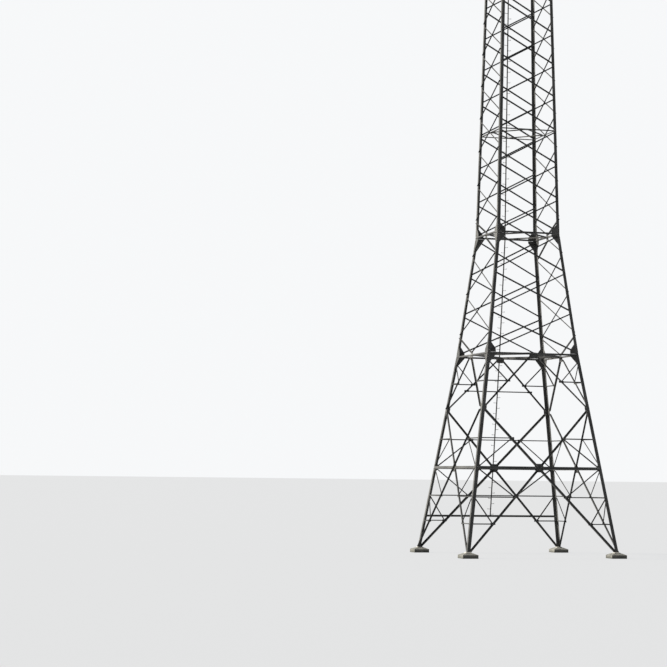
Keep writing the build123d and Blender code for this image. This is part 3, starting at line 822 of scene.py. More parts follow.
class Bench:
    """Blender's modelling tools, with nothing left selected between pieces."""

    @staticmethod
    def clear() -> None:
        """Leave edit mode and deselect everything."""
        if bpy.context.mode != "OBJECT":
            bpy.ops.object.mode_set(mode="OBJECT")
        bpy.ops.object.select_all(action="DESELECT")

    @staticmethod
    def drum(sides: int, radius: float, low: float, high: float) -> Thing:
        """Add a prism on the vertical axis.

        Args:
            sides: Number of its sides.
            radius: Its radius over the corners.
            low: Height of its underside.
            high: Height of its top.

        Returns:
            The prism, in edit mode with nothing selected.
        """
        Bench.clear()
        bpy.ops.mesh.primitive_cylinder_add(
            vertices=sides, radius=radius, depth=high - low, location=(0.0, 0.0, (low + high) / 2)
        )
        return Bench.open(bpy.context.active_object)

    @staticmethod
    def block(size: Sequence[float], middle: Sequence[float]) -> Thing:
        """Add a block.

        Args:
            size: Its size on each axis.
            middle: Its middle.

        Returns:
            The block, in edit mode with nothing selected.
        """
        Bench.clear()
        bpy.ops.mesh.primitive_cube_add(size=1.0, location=middle, scale=size)
        return Bench.open(bpy.context.active_object)

    @staticmethod
    def open(thing: Thing) -> Thing:
        """Settle a new object's place into its mesh and open it in edit mode.

        Args:
            thing: The object.

        Returns:
            The object, with nothing selected.
        """
        bpy.ops.object.transform_apply(location=True, rotation=True, scale=True)
        bpy.ops.object.mode_set(mode="EDIT")
        bpy.ops.mesh.select_all(action="DESELECT")
        return thing

    @staticmethod
    def pick(thing: Thing, wanted: Callable[[bmesh.types.BMFace], bool]) -> None:
        """Select the faces of an open mesh that a test accepts.

        Args:
            thing: The object.
            wanted: The test.
        """
        bpy.ops.mesh.select_mode(type="FACE")
        bpy.ops.mesh.select_all(action="DESELECT")
        mesh = bmesh.from_edit_mesh(thing.data)
        for part in mesh.faces:
            part.select_set(wanted(part))
        bmesh.update_edit_mesh(thing.data)

    @staticmethod
    def outermost(thing: Thing, way: int) -> None:
        """Select the outermost level face of an open mesh.

        Args:
            thing: The object.
            way: 1 for the highest face, -1 for the lowest.
        """
        faces = bmesh.from_edit_mesh(thing.data).faces
        level = [part for part in faces if part.normal.z * way > FACING]
        end = max(part.calc_center_median().z * way for part in level) - LEVEL
        Bench.pick(
            thing, lambda part: part.normal.z * way > FACING and part.calc_center_median().z * way > end
        )

    @staticmethod
    def top(thing: Thing) -> None:
        """Select the highest level face of an open mesh."""
        Bench.outermost(thing, 1)

    @staticmethod
    def bottom(thing: Thing) -> None:
        """Select the lowest level face of an open mesh."""
        Bench.outermost(thing, -1)

    @staticmethod
    def middle_of(thing: Thing) -> Vector:
        """Find the middle of the selected corners of an open mesh.

        Args:
            thing: The object.

        Returns:
            The middle.
        """
        mesh = bmesh.from_edit_mesh(thing.data)
        chosen = [corner.co for corner in mesh.verts if corner.select]
        return sum(chosen, Vector()) / len(chosen)

    @staticmethod
    def raise_face(lift: float, size: float = 1.0) -> None:
        """Extrude the selected face upwards and change its size.

        Args:
            lift: How far it goes, down where negative.
            size: The new size as a share of the old one.
        """
        bpy.ops.mesh.extrude_region_move(TRANSFORM_OT_translate={"value": (0.0, 0.0, lift)})
        if size != 1.0:
            bpy.ops.transform.resize(value=(size, size, 1.0))

    @staticmethod
    def smooth(thing: Thing) -> None:
        """Shade a closed object smooth across its shallow edges.

        Args:
            thing: The object.
        """
        Bench.clear()
        thing.select_set(True)
        bpy.context.view_layer.objects.active = thing
        bpy.ops.object.shade_smooth_by_angle(angle=SHALLOW)

    @staticmethod
    def step_in(width: float, lift: float = 0.0) -> None:
        """Inset the selected face by a width and lift it.

        Args:
            width: The width.
            lift: How far the inner face goes up.
        """
        bpy.ops.mesh.inset(thickness=width)
        if lift:
            bpy.ops.transform.translate(value=(0.0, 0.0, lift))

    @staticmethod
    def close(thing: Thing, name: str) -> Thing:
        """Leave edit mode and name the object.

        Args:
            thing: The object.
            name: Its name.

        Returns:
            The object.
        """
        bpy.ops.object.mode_set(mode="OBJECT")
        thing.name = name
        thing.data.name = name
        return thing

    @staticmethod
    def eased(thing: Thing, width: float, name: str, facets: int = 1) -> Thing:
        """Ease every edge of an open object and close it.

        Args:
            thing: The object.
            width: Width of an eased edge.
            name: The object's name.
            facets: Facets of an eased edge.

        Returns:
            The object.
        """
        bpy.ops.mesh.select_all(action="SELECT")
        bpy.ops.mesh.bevel(offset=width, segments=facets, affect="EDGES")
        return Bench.close(thing, name)

    @staticmethod
    def draw_out(thing: Thing, length: float, lift: float, size: Pair) -> None:
        """Draw both ends of an open block out along Y.

        Args:
            thing: The block.
            length: How far each end goes out.
            lift: How far each end goes up.
            size: Width and height of an end as shares of the block's.
        """
        for way in (-1, 1):
            Bench.pick(thing, lambda part, way=way: part.normal.y * way > FACING)
            step = (0.0, way * length, lift)
            bpy.ops.mesh.extrude_region_move(TRANSFORM_OT_translate={"value": step})
            bpy.ops.transform.resize(value=(size[0], 1.0, size[1]))

    @staticmethod
    def join(things: Sequence[Thing], name: str) -> Thing:
        """Join objects into the first of them and name it.

        Args:
            things: The objects.
            name: The name.

        Returns:
            The joined object.
        """
        Bench.clear()
        for thing in things:
            thing.select_set(True)
        bpy.context.view_layer.objects.active = things[0]
        if len(things) > 1:
            bpy.ops.object.join()
        things[0].name = name
        things[0].data.name = name
        return things[0]

    @staticmethod
    def copies(pattern: Thing, places: Iterable[Matrix]) -> list[Thing]:
        """Copy a pattern to places, each copy with its own mesh.

        Args:
            pattern: The modelled shape, at the origin.
            places: Where the copies go.

        Returns:
            The copies.
        """
        made = []
        for place in places:
            mesh = pattern.data.copy()
            mesh.transform(place)
            thing = bpy.data.objects.new(pattern.name, mesh)
            bpy.context.scene.collection.objects.link(thing)
            made.append(thing)
        return made

    @staticmethod
    def drop(*things: Thing) -> None:
        """Remove patterns that have been copied."""
        for thing in things:
            bpy.data.meshes.remove(thing.data)

    @staticmethod
    def hand_over(thing: Thing, slot: Slot, finish: bpy.types.Material) -> Thing:
        """Give a finished piece its finish and the body it rides on.

        Args:
            thing: The piece.
            slot: Its slot; not used.
            finish: Its finish, that of the slot or a like one.

        Returns:
            The piece.
        """
        thing.data.materials.clear()
        thing.data.materials.append(finish)
        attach(thing, BODY)
        log.info("%s: %d faces", thing.name, len(thing.data.polygons))
        return thing


@dataclass(frozen=True)
class Bolt:
    """The hexagon bolt that holds every joint: a washer under its head, a washer and nut behind."""

    washer: float = 0.0110
    washer_sides: int = 10
    washer_body: float = 0.7
    washer_rim: float = 0.3
    washer_height: float = 0.0022
    hexagon: float = 0.0092
    head_height: float = 0.0068
    nut_height: float = 0.0082
    chamfer: float = 0.0014
    thread: float = 0.0050
    thread_end: float = 0.0060

    def under(self) -> Thing:
        """Model the washer, with its upper rim eased.

        Returns:
            The washer, standing on the ground.
        """
        rim = self.washer_height * self.washer_rim
        disc = Bench.drum(self.washer_sides, self.washer, 0.0, self.washer_height * self.washer_body)
        Bench.top(disc)
        Bench.step_in(rim, rim)
        return Bench.close(disc, "washer")

    def hexagonal(self, height: float) -> Thing:
        """Model a hexagon with a chamfered top, standing on the washer.

        Args:
            height: Its height.

        Returns:
            The hexagon.
        """
        low = self.washer_height
        prism = Bench.drum(6, self.hexagon, low, low + height - self.chamfer)
        Bench.top(prism)
        Bench.step_in(self.chamfer, self.chamfer)
        return Bench.close(prism, "hexagon")

    def head(self) -> Thing:
        """Model the head on its washer."""
        return Bench.join([self.hexagonal(self.head_height), self.under()], "bolt_head")

    def nut(self) -> Thing:
        """Model the nut on its washer, with the end of the thread standing out of it.

        Returns:
            The nut.
        """
        nut = self.hexagonal(self.nut_height)
        bpy.ops.object.mode_set(mode="EDIT")
        Bench.top(nut)
        Bench.step_in(self.hexagon * FLATS - self.chamfer - self.thread)
        Bench.raise_face(self.thread_end - self.chamfer)
        Bench.step_in(self.chamfer, self.chamfer)
        Bench.close(nut, "hexagon")
        return Bench.join([nut, self.under()], "bolt_nut")


class Surfaces:
    """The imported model's surfaces, for fastenings to seat on."""

    def __init__(self, nodes: Iterable[Thing]) -> None:
        """Gather the faces of every node.

        Args:
            nodes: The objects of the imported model.
        """
        corners: list[Vector] = []
        faces: list[list[int]] = []
        for thing in nodes:
            base = len(corners)
            corners.extend(thing.matrix_world @ corner.co for corner in thing.data.vertices)
            faces.extend([base + at for at in part.vertices] for part in thing.data.polygons)
        self.tree = BVHTree.FromPolygons(corners, faces)

    def seat(self, face: Matrix, spot: Vector, start: float, way: int, rim: float) -> float | None:
        """Find the flat surface that a washer seats on.

        Args:
            face: Placing whose z points out of the steel.
            spot: The washer's middle on the face.
            start: Depth on the face that the search starts from.
            way: 1 for a washer on the outside, -1 for one behind.
            rim: Radius of the washer.

        Returns:
            The depth of the surface, or None where it isn't flat and whole under the washer.
        """
        aim = face.to_3x3() @ Vector((0.0, 0.0, -way))
        depths = []
        for turn in (None, *range(0, 360, 60)):
            x, y = spot
            if turn is not None:
                x += rim * math.cos(math.radians(turn))
                y += rim * math.sin(math.radians(turn))
            place, _, _, distance = self.tree.ray_cast(face @ Vector((x, y, start)), aim, SEARCH)
            if place is None:
                return None
            depths.append(start - way * distance)
        return depths[0] if max(depths) - min(depths) < FLAT else None


@dataclass
class BoltPlaces:
    """Where the bolts of one part of the tower go."""

    surfaces: Surfaces
    heads: list[Matrix] = field(default_factory=list)
    nuts: list[Matrix] = field(default_factory=list)
    taken: list[Vector] = field(default_factory=list)


@dataclass(frozen=True)
class Flange:
    """Flat steel that bolts go through, seen on its outer face."""

    face: Matrix
    thickness: float
    bolts: BoltPlaces

    def through(
        self,
        spot: Vector,
        outside: float = 0.0,
        inside: float | None = 0.0,
        size: float = 1.0,
        cover: float = 0.0,
    ) -> None:
        """Add a bolt, where the steel is flat under its washers.

        Args:
            spot: The bolt's place on the face.
            outside: Thickness of the steel that lies on the outside, about.
            inside: Thickness of the steel that lies on the inside, None where no nut shows.
            size: The bolt's size as a share of the largest.
            cover: Thickness of a cover plate under its head.
        """
        bolts, face, rim = self.bolts, self.face, Bolt().washer * size
        place = face @ Vector((spot.x, spot.y, outside))
        if any((place - other).length < 2 * rim for other in bolts.taken):
            return
        turn = Matrix.Rotation(TURN_STEP * len(bolts.taken), 4, "Z") @ Matrix.Scale(size, 4)
        head = bolts.surfaces.seat(face, spot, outside + SEARCH / 2, 1, rim)
        if head is not None:
            bolts.heads.append(face @ Matrix.Translation((spot.x, spot.y, head + cover)) @ turn)
        nut = None
        if inside is not None:
            back = -self.thickness - inside
            nut = bolts.surfaces.seat(face, spot, back - SEARCH / 2, -1, rim)
        if nut is not None:
            flip = Matrix.Rotation(math.pi, 4, "X")
            bolts.nuts.append(face @ Matrix.Translation((spot.x, spot.y, nut)) @ flip @ turn)
        if head is not None or nut is not None:
            bolts.taken.append(place)

    def row(
        self, bar: Bar, steps: Steps, outside: float = 0.0, inside: float = 0.0, size: float = 1.0
    ) -> None:
        """Add bolts along a bar.

        Args:
            bar: The bar's ends.
            steps: Distances of the bolts from its first end.
            outside: Thickness of the steel that lies on the outside, about.
            inside: Thickness of the steel that lies on the inside, about.
            size: The bolts' size as a share of the largest.
        """
        start, end = bar
        along = (end - start).normalized()
        for step in steps:
            self.through(start + along * step, outside, inside, size)

    def both_ends(self, bar: Bar, steps: Steps, outside: float = 0.0, inside: float = 0.0) -> None:
        """Add small bolts at distances from both ends of a bar."""
        self.row(bar, steps, outside, inside, SMALL)
        self.row((bar[1], bar[0]), steps, outside, inside, SMALL)


@dataclass(frozen=True)
class Wall(Flange):
    """The legs' flanges on one side of a stage."""

    stage: Stage

    @classmethod
    def of(cls, stage: Stage, side: Side, bolts: BoltPlaces) -> "Wall":
        """Find the flanges of a side."""
        return cls(stage.face(side), stage.plate, bolts, stage)

    def raised(self, across: float, height: float, rise: float) -> Vector:
        """A point of the side's face, a rise over a height."""
        return self.stage.spot(across, height) + Vector((0.0, rise))


@dataclass
class Bolting:
    """The bolts at every joint of the foot, the body, the ladder and the arms."""

    layout: Layout
    finishes: Finishes
    surfaces: Surfaces
    lacing_steps: Steps = (-0.003, 0.022)
    half_steps: Steps = (0.039, 0.062)
    brace_steps: Steps = (0.070, 0.101)
    gusset_steps: Steps = (0.040, 0.072, 0.104)
    tie_steps: Steps = (-0.014, 0.014)
    rafter_steps: Steps = (-0.012, 0.012)
    crown_steps: Steps = (0.151, 0.182)
    leg_steps: Steps = (0.012, 0.036)
    end_steps: Steps = (0.065,)
    belt_steps: Steps = (0.014, 0.046, 0.078)
    belt_rises: Steps = (-0.018, 0.020)
    belt_middle: float = 0.116
    belt_thickness: float = 0.005
    ring_steps: Steps = (0.015, 0.050, 0.085, 0.112)
    ring_rise: float = 0.003
    lap_steps: Steps = (0.012, 0.033)
    diamond_steps: Steps = (0.044,)
    collar_drop: float = 0.015
    collar_inset: float = 0.041
    ladder_step: float = 0.011
    web_steps: Steps = (-0.012, 0.012, 0.036)
    root_steps: Steps = (0.030, 0.060, 0.090, 0.120)
    head_steps: Steps = (0.016, 0.044, 0.072)
    chord_rises: Steps = (-0.016, 0.018)
    chord_step: float = 0.02
    splice_pitch: float = 0.036
    splice_clear: float = 0.078
    splice_reach: float = 0.430
    splice_line: float = 0.021

    def great_braces(self, wall: Wall) -> float:
        """Place the bolts of the great braces of a side.

        Args:
            wall: The side of the foot.

        Returns:
            The height at which the braces cross.
        """
        sizes, foot, thick = self.layout, wall.stage, self.layout.cross_thickness
        low, high = foot.gauge(0), foot.gauge(sizes.cross_top)
        bars = [foot.bar(hand * low, 0.0, -hand * high, sizes.cross_top) for hand in (-1, 1)]
        centre = meet(*bars)
        wall.through(centre, thick, thick)
        belt = centre.y * math.cos(foot.lean)
        for hand, (start, end) in zip((-1, 1), bars):
            layers = (thick, 0.0) if hand < 0 else (0.0, thick)
            for bar in ((start, end), (end, start)):
                wall.row(bar, self.brace_steps, *layers)
            for bar in ((centre, end), (centre, start)):
                wall.row(bar, self.gusset_steps, *layers)
            for height in sizes.brace_ties:
                joint = sizes.great_brace(hand, height)
                wall.row((joint, end), self.tie_steps, *layers)
                self.tie(wall, joint, sizes.at_leg(-hand if height > belt else hand, height))
        return belt

    def tie(self, wall: Wall, joint: Vector, at_leg: Vector) -> None:
        """Place the bolts of a light tie, from its joint with a brace to the leg."""
        wall.row((joint, at_leg), self.end_steps, size=SMALL)
        wall.row((at_leg, joint), self.leg_steps, size=SMALL)

    def belts(self, wall: Wall, height: float, rises: Steps) -> None:
        """Place the bolts at both ends of a belt.

        Args:
            wall: The side.
            height: Height of the belt's middle.
            rises: How far over it each line of bolts stands.
        """
        for hand, step, rise in product((-1, 1), self.belt_steps, rises):
            spot = wall.raised(hand * (wall.stage.gauge(height) - step), height, rise)
            wall.through(spot, self.belt_thickness, self.belt_thickness)

    def short_lap(self, wall: Wall, height: float, rises: Steps) -> None:
        """Place the bolts of a light ring that laps the legs of a side behind their flanges.

        Args:
            wall: The side.
            height: Height of the ring's middle.
            rises: How far over it each line of bolts stands.
        """
        for hand, step, rise in product((-1, 1), self.lap_steps, rises):
            spot = wall.raised(hand * (wall.stage.gauge(height) - step), height, rise)
            wall.through(spot, 0.0, self.belt_thickness, SMALL)

    def foot(self, side: Side) -> BoltPlaces:
        """Place the bolts of one side of the spread foot.

        Args:
            side: The side.

        Returns:
            The places.
        """
        sizes, foot, thin = self.layout, self.layout.foot, self.layout.lacing_thickness
        wall, knee_belt = Wall.of(foot, side, BoltPlaces(self.surfaces)), sizes.knee_belt
        belt = self.great_braces(wall)
        self.belts(wall, belt, self.belt_rises)
        self.belts(wall, knee_belt, (self.ring_rise,))
        for hand in (-1, 1):
            spots = [wall.raised(hand * self.belt_middle, belt, rise) for rise in self.belt_rises]
            spots += [wall.raised(hand * step, knee_belt, self.ring_rise) for step in self.ring_steps]
            for spot in spots:
                wall.through(spot, self.belt_thickness, self.belt_thickness)
            base, crown = sizes.at_leg(hand, sizes.cross_top), foot.spot(0.0, sizes.knee)
            wall.row((base, crown), self.brace_steps, thin)
            wall.row((crown, base), self.crown_steps, thin)
            joint = sizes.rafter(hand, sizes.fourth_tie)
            wall.row((joint, crown), self.rafter_steps, thin, size=SMALL)
            self.tie(wall, joint, sizes.at_leg(hand, sizes.fourth_tie))
            high = sizes.at_leg(hand, sizes.knee - sizes.rafter_tie_drop)
            wall.row((high, joint), self.leg_steps, size=SMALL)
            if side is Side.BACK:
                joint = sizes.rafter(hand, sizes.apron_tie)
                wall.row((joint, crown), self.rafter_steps, thin, size=SMALL)
        return wall.bolts

    def crosses(self, wall: Wall, panels: Panels) -> None:
        """Place the bolts of crossed panels: two at each end of a bar and one where they cross.

        Args:
            wall: The side.
            panels: Heights between which each cross stands.
        """
        thin = self.layout.lacing_thickness
        for rising, falling in wall.stage.crossed(panels):
            wall.both_ends(rising, self.lacing_steps, thin, 0.0)
            wall.both_ends(falling, self.lacing_steps, 0.0, thin)
            wall.through(meet(rising, falling), thin, thin, SMALL)

    def half_cross(self, wall: Wall, middle: float, legs: float) -> None:
        """Place the bolts of a half panel.

        Args:
            wall: The side.
            middle: Height at which its bars meet in the middle of the side.
            legs: Height at which they start from the legs.
        """
        thin, stage = self.layout.lacing_thickness, wall.stage
        for hand in (-1, 1):
            start, end = stage.bar(hand * stage.gauge(legs), legs, 0.0, middle)
            wall.row((start, end), self.lacing_steps, thin, size=SMALL)
            wall.row((end, start), self.half_steps, thin, size=SMALL)

    def body(self, side: Side) -> BoltPlaces:
        """Place the bolts of one side of the neck, the shaft and the head.

        Args:
            side: The side.

        Returns:
            The places.
        """
        sizes, bolts, held = self.layout, BoltPlaces(self.surfaces), self.layout.joint_rise
        for stage, joints, rise in sizes.laced:
            wall = Wall.of(stage, side, bolts)
            if side in STAGGERED:
                between = [(low + high) / 2 for low, high in zip(joints, joints[1:])]
                self.crosses(wall, sizes.panels(between, held))
                self.half_cross(wall, joints[0] + rise, between[0] - held)
                self.half_cross(wall, joints[-1] - held, between[-1] + held)
            else:
                self.crosses(wall, sizes.panels(joints, rise))
        head, shaft = Wall.of(sizes.head, side, bolts), Wall.of(sizes.shaft, side, bolts)
        panel = (head.stage.low + sizes.head_rise, head.stage.high - sizes.head_rise)
        self.crosses(head, [panel])
        self.belts(shaft, sizes.waist_belt, (self.ring_rise,))
        if side in STAGGERED:
            for chord in sizes.head_chords:
                self.short_lap(head, sizes.arm + chord, self.chord_rises)
        else:
            self.short_lap(shaft, sizes.collar, (0.0,))
        return bolts

    def diamond(
        self, bolts: BoltPlaces, stage: Stage, shelf: float, thickness: float, inset: float = 0.0
    ) -> None:
        """Place the bolts of a ring's level diamond.

        Args:
            bolts: The places to add to.
            stage: The stage that the ring goes round.
            shelf: Height of the top of the ring's shelves.
            thickness: Thickness of the diamond's bars and of the plates under them.
            inset: How far the plates on the staggered sides are set in.
        """
        sizes = self.layout
        shelf_back = stage.gauge(shelf) + stage.leg_size / 2 - stage.leg_thickness - sizes.air
        edge = shelf_back - sizes.ring_shelf_plate / 2
        level = Matrix.Translation((0.0, 0.0, stage.cap_height + shelf - thickness))
        flat = Flange(level, 0.0, bolts)
        nodes = []
        for side in Side:
            depth = inset if side in STAGGERED else 0.0
            node = Matrix.Rotation(side.turn, 3, "Z") @ Vector((0.0, depth - edge, 0.0))
            nodes.append(node.xy)
        for bar in zip(nodes, nodes[1:] + nodes[:1]):
            flat.both_ends(bar, self.diamond_steps, 2 * thickness)

    def rings(self) -> BoltPlaces:
        """Place the bolts of the level diamonds of knee, waist, collar and head.

        Returns:
            The places.
        """
        sizes, bolts, arm = self.layout, BoltPlaces(self.surfaces), self.layout.arm_sizes
        thick, thin, tie = sizes.cross_thickness, sizes.lacing_thickness, sizes.tie_thickness
        knee = sizes.knee - sizes.air - sizes.ring_depth + thick
        self.diamond(bolts, sizes.foot, knee, thick)
        self.diamond(bolts, sizes.shaft, sizes.waist + sizes.air + thick, thin)
        collar = sizes.collar - self.collar_drop + tie
        self.diamond(bolts, sizes.shaft, collar, tie, self.collar_inset)
        for low in (sizes.arm, sizes.arm + sizes.head_depth - arm.chord_size):
            self.diamond(bolts, sizes.head, low + arm.chord_thickness, thin)
        return bolts

    def ladder(self) -> BoltPlaces:
        """Place the bolts of the ladder: through its beam's ends, and on its stem at every bracket.

        Returns:
            The places.
        """
        sizes, bolts, beam = self.layout, BoltPlaces(self.surfaces), self.layout.ladder_beam
        wall = Wall.of(sizes.foot, Side.BACK, bolts)
        for hand in (-1, 1):
            spot = wall.raised(hand * (sizes.foot.gauge(beam) - self.ladder_step), beam, 0.0)
            wall.through(spot, sizes.ladder_face)
        for stage, joints, rise in sizes.laced:
            wall = Wall.of(stage, Side.BACK, bolts)
            for bars in stage.crossed(sizes.panels(joints, rise)):
                wall.through(meet(*bars), sizes.stem_face, None, SMALL)
        return bolts

    def splices(self, side: Side) -> BoltPlaces:
        """Place the two lines of bolts that splice the legs of one side at the knee and the waist.

        Args:
            side: The side.

        Returns:
            The places.
        """
        sizes, bolts = self.layout, BoltPlaces(self.surfaces)
        cover = sizes.cover_thickness if side in STAGGERED else 0.0
        count = int((self.splice_reach - self.splice_clear) / self.splice_pitch) + 1
        for bend, stage, way in sizes.bends:
            wall = Wall.of(stage, side, bolts)
            for hand, step in product((-1, 1), range(count)):
                height = bend + way * (self.splice_clear + step * self.splice_pitch)
                line = self.splice_line if step % 2 else -self.splice_line
                spot = stage.spot(hand * stage.gauge(height) + line, height)
                wall.through(spot, size=SPLICE, cover=cover)
        return bolts

    def arms(self) -> BoltPlaces:
        """Place the bolts of the arms' trusses and of the plates that hold them to the legs.

        Returns:
            The places.
        """
        sizes, bolts, arm = self.layout, BoltPlaces(self.surfaces), self.layout.arm_sizes
        chord, chords, rises = arm.chord_thickness, sizes.head_chords, self.chord_rises
        for turn, hand in product((0.0, math.pi), (1, -1)):
            truss = Flange(arm.face(turn, hand < 0), chord, bolts)
            for start, end in arm.webs():
                bar = Vector((hand * start.x, start.y)), Vector((hand * end.x, end.y))
                truss.both_ends(bar, self.web_steps, chord, chord)
            for height, step, rise in product(chords, self.root_steps, rises):
                truss.through(Vector((hand * step, height + rise)), chord, size=SMALL)
            for reach in (arm.tip_reach, arm.peak_reach):
                along = arm.along(reach) - self.chord_step
                truss.through(Vector((hand * along, arm.chord_rise(reach))))
        for side, hand in product((Side.FRONT, Side.BACK), (-1, 1)):
            wall = Wall.of(sizes.head, side, bolts)
            for height, step, rise in product(chords, self.head_steps, rises):
                across = hand * (sizes.head_width / 2 - step)
                spot = sizes.head.spot(across, sizes.arm + height + rise)
                wall.through(spot, chord, chord, SMALL)
        return bolts

    def make(self) -> None:
        """Model a bolt and copy it to every place, a piece for each part of each side."""
        head, nut = Bolt().head(), Bolt().nut()
        parts = [
            (Slot.BRACES, "arms", self.arms()),
            (Slot.BRACES, "rings", self.rings()),
            (Slot.LADDER, "ladder", self.ladder()),
        ]
        for side in Side:
            name = side.name.lower()
            parts.append((Slot.BRACES, f"foot_{name}", self.foot(side)))
            parts.append((Slot.BRACES, f"body_{name}", self.body(side)))
            parts.append((Slot.LEGS, f"splice_{name}", self.splices(side)))
        for slot, name, places in parts:
            made = Bench.copies(head, places.heads) + Bench.copies(nut, places.nuts)
            Bench.hand_over(Bench.join(made, f"bolts_{name}"), slot, self.finishes.zinc)
        Bench.drop(head, nut)


@dataclass
class Pedestals:
    """The mortar that seals each leg to its concrete cap."""

    layout: Layout
    finishes: Finishes
    width: float = 0.185
    low_height: float = 0.012
    slope_height: float = 0.016
    slope_in: float = 0.030
    ease: float = 0.004

    def make(self) -> None:
        """Model one pedestal and copy it under each leg."""
        base = self.layout.foot.cap_height
        middle = (0.0, 0.0, self.low_height / 2)
        block = Bench.block((self.width, self.width, self.low_height), middle)
        Bench.top(block)
        Bench.step_in(self.slope_in, self.slope_height)
        Bench.eased(block, self.ease, "mortar", facets=2)
        reach = self.layout.foot.gauge(0.0)
        places = [Matrix.Translation((x * reach, y * reach, base)) for x in (-1, 1) for y in (-1, 1)]
        piece = Bench.join(Bench.copies(block, places), "mortar_pedestals")
        Bench.drop(block)
        Bench.hand_over(piece, Slot.CONCRETE, self.finishes.mortar)


@dataclass
class PegEnds:
    """The upturned ends of the ladder's pegs, which keep a boot from sliding off."""

    layout: Layout
    finishes: Finishes
    stem_width: float = 0.030
    pitch: float = 0.165
    peg_length: float = 0.085
    peg_size: float = 0.010
    start: float = 0.930
    rise: float = 0.026
    ease: float = 0.002
    fit: float = 1.04

    def places(self) -> list[Matrix]:
        """Find the outer end of every peg, stage by stage up the back.

        Returns:
            The places.
        """
        found, below, seat = [], 0, (self.layout.ladder_face + self.layout.stem_face) / 2
        for stage, low in (
            (self.layout.foot, self.start),
            (self.layout.neck, self.layout.neck.low),
            (self.layout.shaft, self.layout.shaft.low),
        ):
            start, end = stage.spot(0.0, low), stage.spot(0.0, stage.high)
            count = int((end - start).length / self.pitch)
            for step in range(count):
                hand = 1 if (below + step) % 2 else -1
                across = hand * (self.stem_width / 2 + self.peg_length - self.peg_size / 2)
                up = start.y + (step + 0.5) * self.pitch
                found.append(stage.face(Side.BACK) @ Matrix.Translation((across, up, seat)))
            below += count
        return found

    def make(self) -> None:
        """Model one peg end and copy it to every peg."""
        width = self.peg_size * self.fit
        middle = (0.0, self.rise / 2 - self.peg_size / 2, 0.0)
        block = Bench.eased(Bench.block((width, self.rise, width), middle), self.ease, "peg_end")
        piece = Bench.join(Bench.copies(block, self.places()), "ladder_peg_ends")
        Bench.drop(block)
        Bench.hand_over(piece, Slot.LADDER, self.finishes.made[Slot.LADDER])


@dataclass
class BendGussets:
    """The gussets at the bends of the legs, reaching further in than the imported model's."""

    layout: Layout
    finishes: Finishes
    reach: float = 0.165
    above: float = 0.285
    below: float = 0.300
    level_above: float = 0.100
    level_below: float = 0.055
    skin: float = 0.0005

    def plate(self, stage: Stage, way: int, hand: int) -> Thing:
        """Model the gusset at one end of a stage, on the face of a side.

        Args:
            stage: The stage.
            way: 1 for its lower end, -1 for its upper one.
            hand: Which leg of the side, -1 or 1.

        Returns:
            The plate, thinner by a skin than the leg's flange that it lies in.
        """
        air = self.layout.air
        start = stage.low + air if way > 0 else stage.high - air
        length = self.above if way > 0 else self.below
        level = self.level_above if way > 0 else self.level_below
        outer = stage.gauge(start)
        inner = outer - stage.leg_size / 2 - self.reach
        near, far = stage.spot(hand * outer, start), stage.spot(hand * inner, start + way * length)
        low, depth = -stage.plate + self.skin, stage.plate - 2 * self.skin
        size = (abs(far.x - near.x), abs(far.y - near.y), depth)
        middle = ((near.x + far.x) / 2, (near.y + far.y) / 2, low + depth / 2)
        block = Bench.block(size, middle)
        corner = stage.spot(hand * inner, start + way * level)
        tip_height = start + way * length
        tip = stage.spot(hand * (stage.gauge(tip_height) - stage.leg_size / 2), tip_height)
        run = (tip - corner).normalized()
        bpy.ops.mesh.select_all(action="SELECT")
        bpy.ops.mesh.bisect(
            plane_co=(corner.x, corner.y, 0.0),
            plane_no=(run.y, -run.x, 0.0),
            use_fill=True,
            clear_inner=hand * way > 0,
            clear_outer=hand * way < 0,
        )
        return Bench.close(block, "gusset")

    def make(self) -> None:
        """Set a gusset under and over both bends at both legs of every side."""
        made = []
        for (_, stage, way), hand in product(self.layout.bends, (-1, 1)):
            pattern = self.plate(stage, way, hand)
            made += Bench.copies(pattern, [stage.face(side) for side in Side])
            Bench.drop(pattern)
        piece = Bench.join(made, "bend_gussets")
        Bench.hand_over(piece, Slot.LEGS, self.finishes.made[Slot.LEGS])


@dataclass
class SplicePlates:
    """Cover plates on the outside of the legs, over and under the belts at each bend."""

    layout: Layout
    finishes: Finishes
    width: float = 0.078
    height: float = 0.360
    clear: float = 0.066
    cut: float = 0.012

    def make(self) -> None:
        """Model one cover plate and copy it to the staggered sides of every leg."""
        thickness = self.layout.cover_thickness
        size = (self.width, self.height, thickness)
        block = Bench.block(size, (0.0, 0.0, thickness / 2))
        bpy.ops.mesh.select_mode(type="EDGE")
        mesh = bmesh.from_edit_mesh(block.data)
        for edge in mesh.edges:
            run = (edge.verts[0].co - edge.verts[1].co).normalized()
            edge.select_set(abs(run.z) > FACING)
        bmesh.update_edit_mesh(block.data)
        bpy.ops.mesh.bevel(offset=self.cut, segments=1, affect="EDGES")
        Bench.close(block, "cover")
        places = []
        for bend, stage, way in self.layout.bends:
            height = bend + way * (self.clear + self.height / 2)
            for side, hand in product(STAGGERED, (-1, 1)):
                spot = stage.spot(hand * stage.gauge(height), height)
                lay = Matrix.Rotation(math.atan(hand * stage.slope), 4, "Z")
                place = Matrix.Translation((spot.x, spot.y, 0.0)) @ lay
                places.append(stage.face(side) @ place)
        piece = Bench.join(Bench.copies(block, places), "leg_splice_plates")
        Bench.drop(block)
        Bench.hand_over(piece, Slot.LEGS, self.finishes.made[Slot.LEGS])


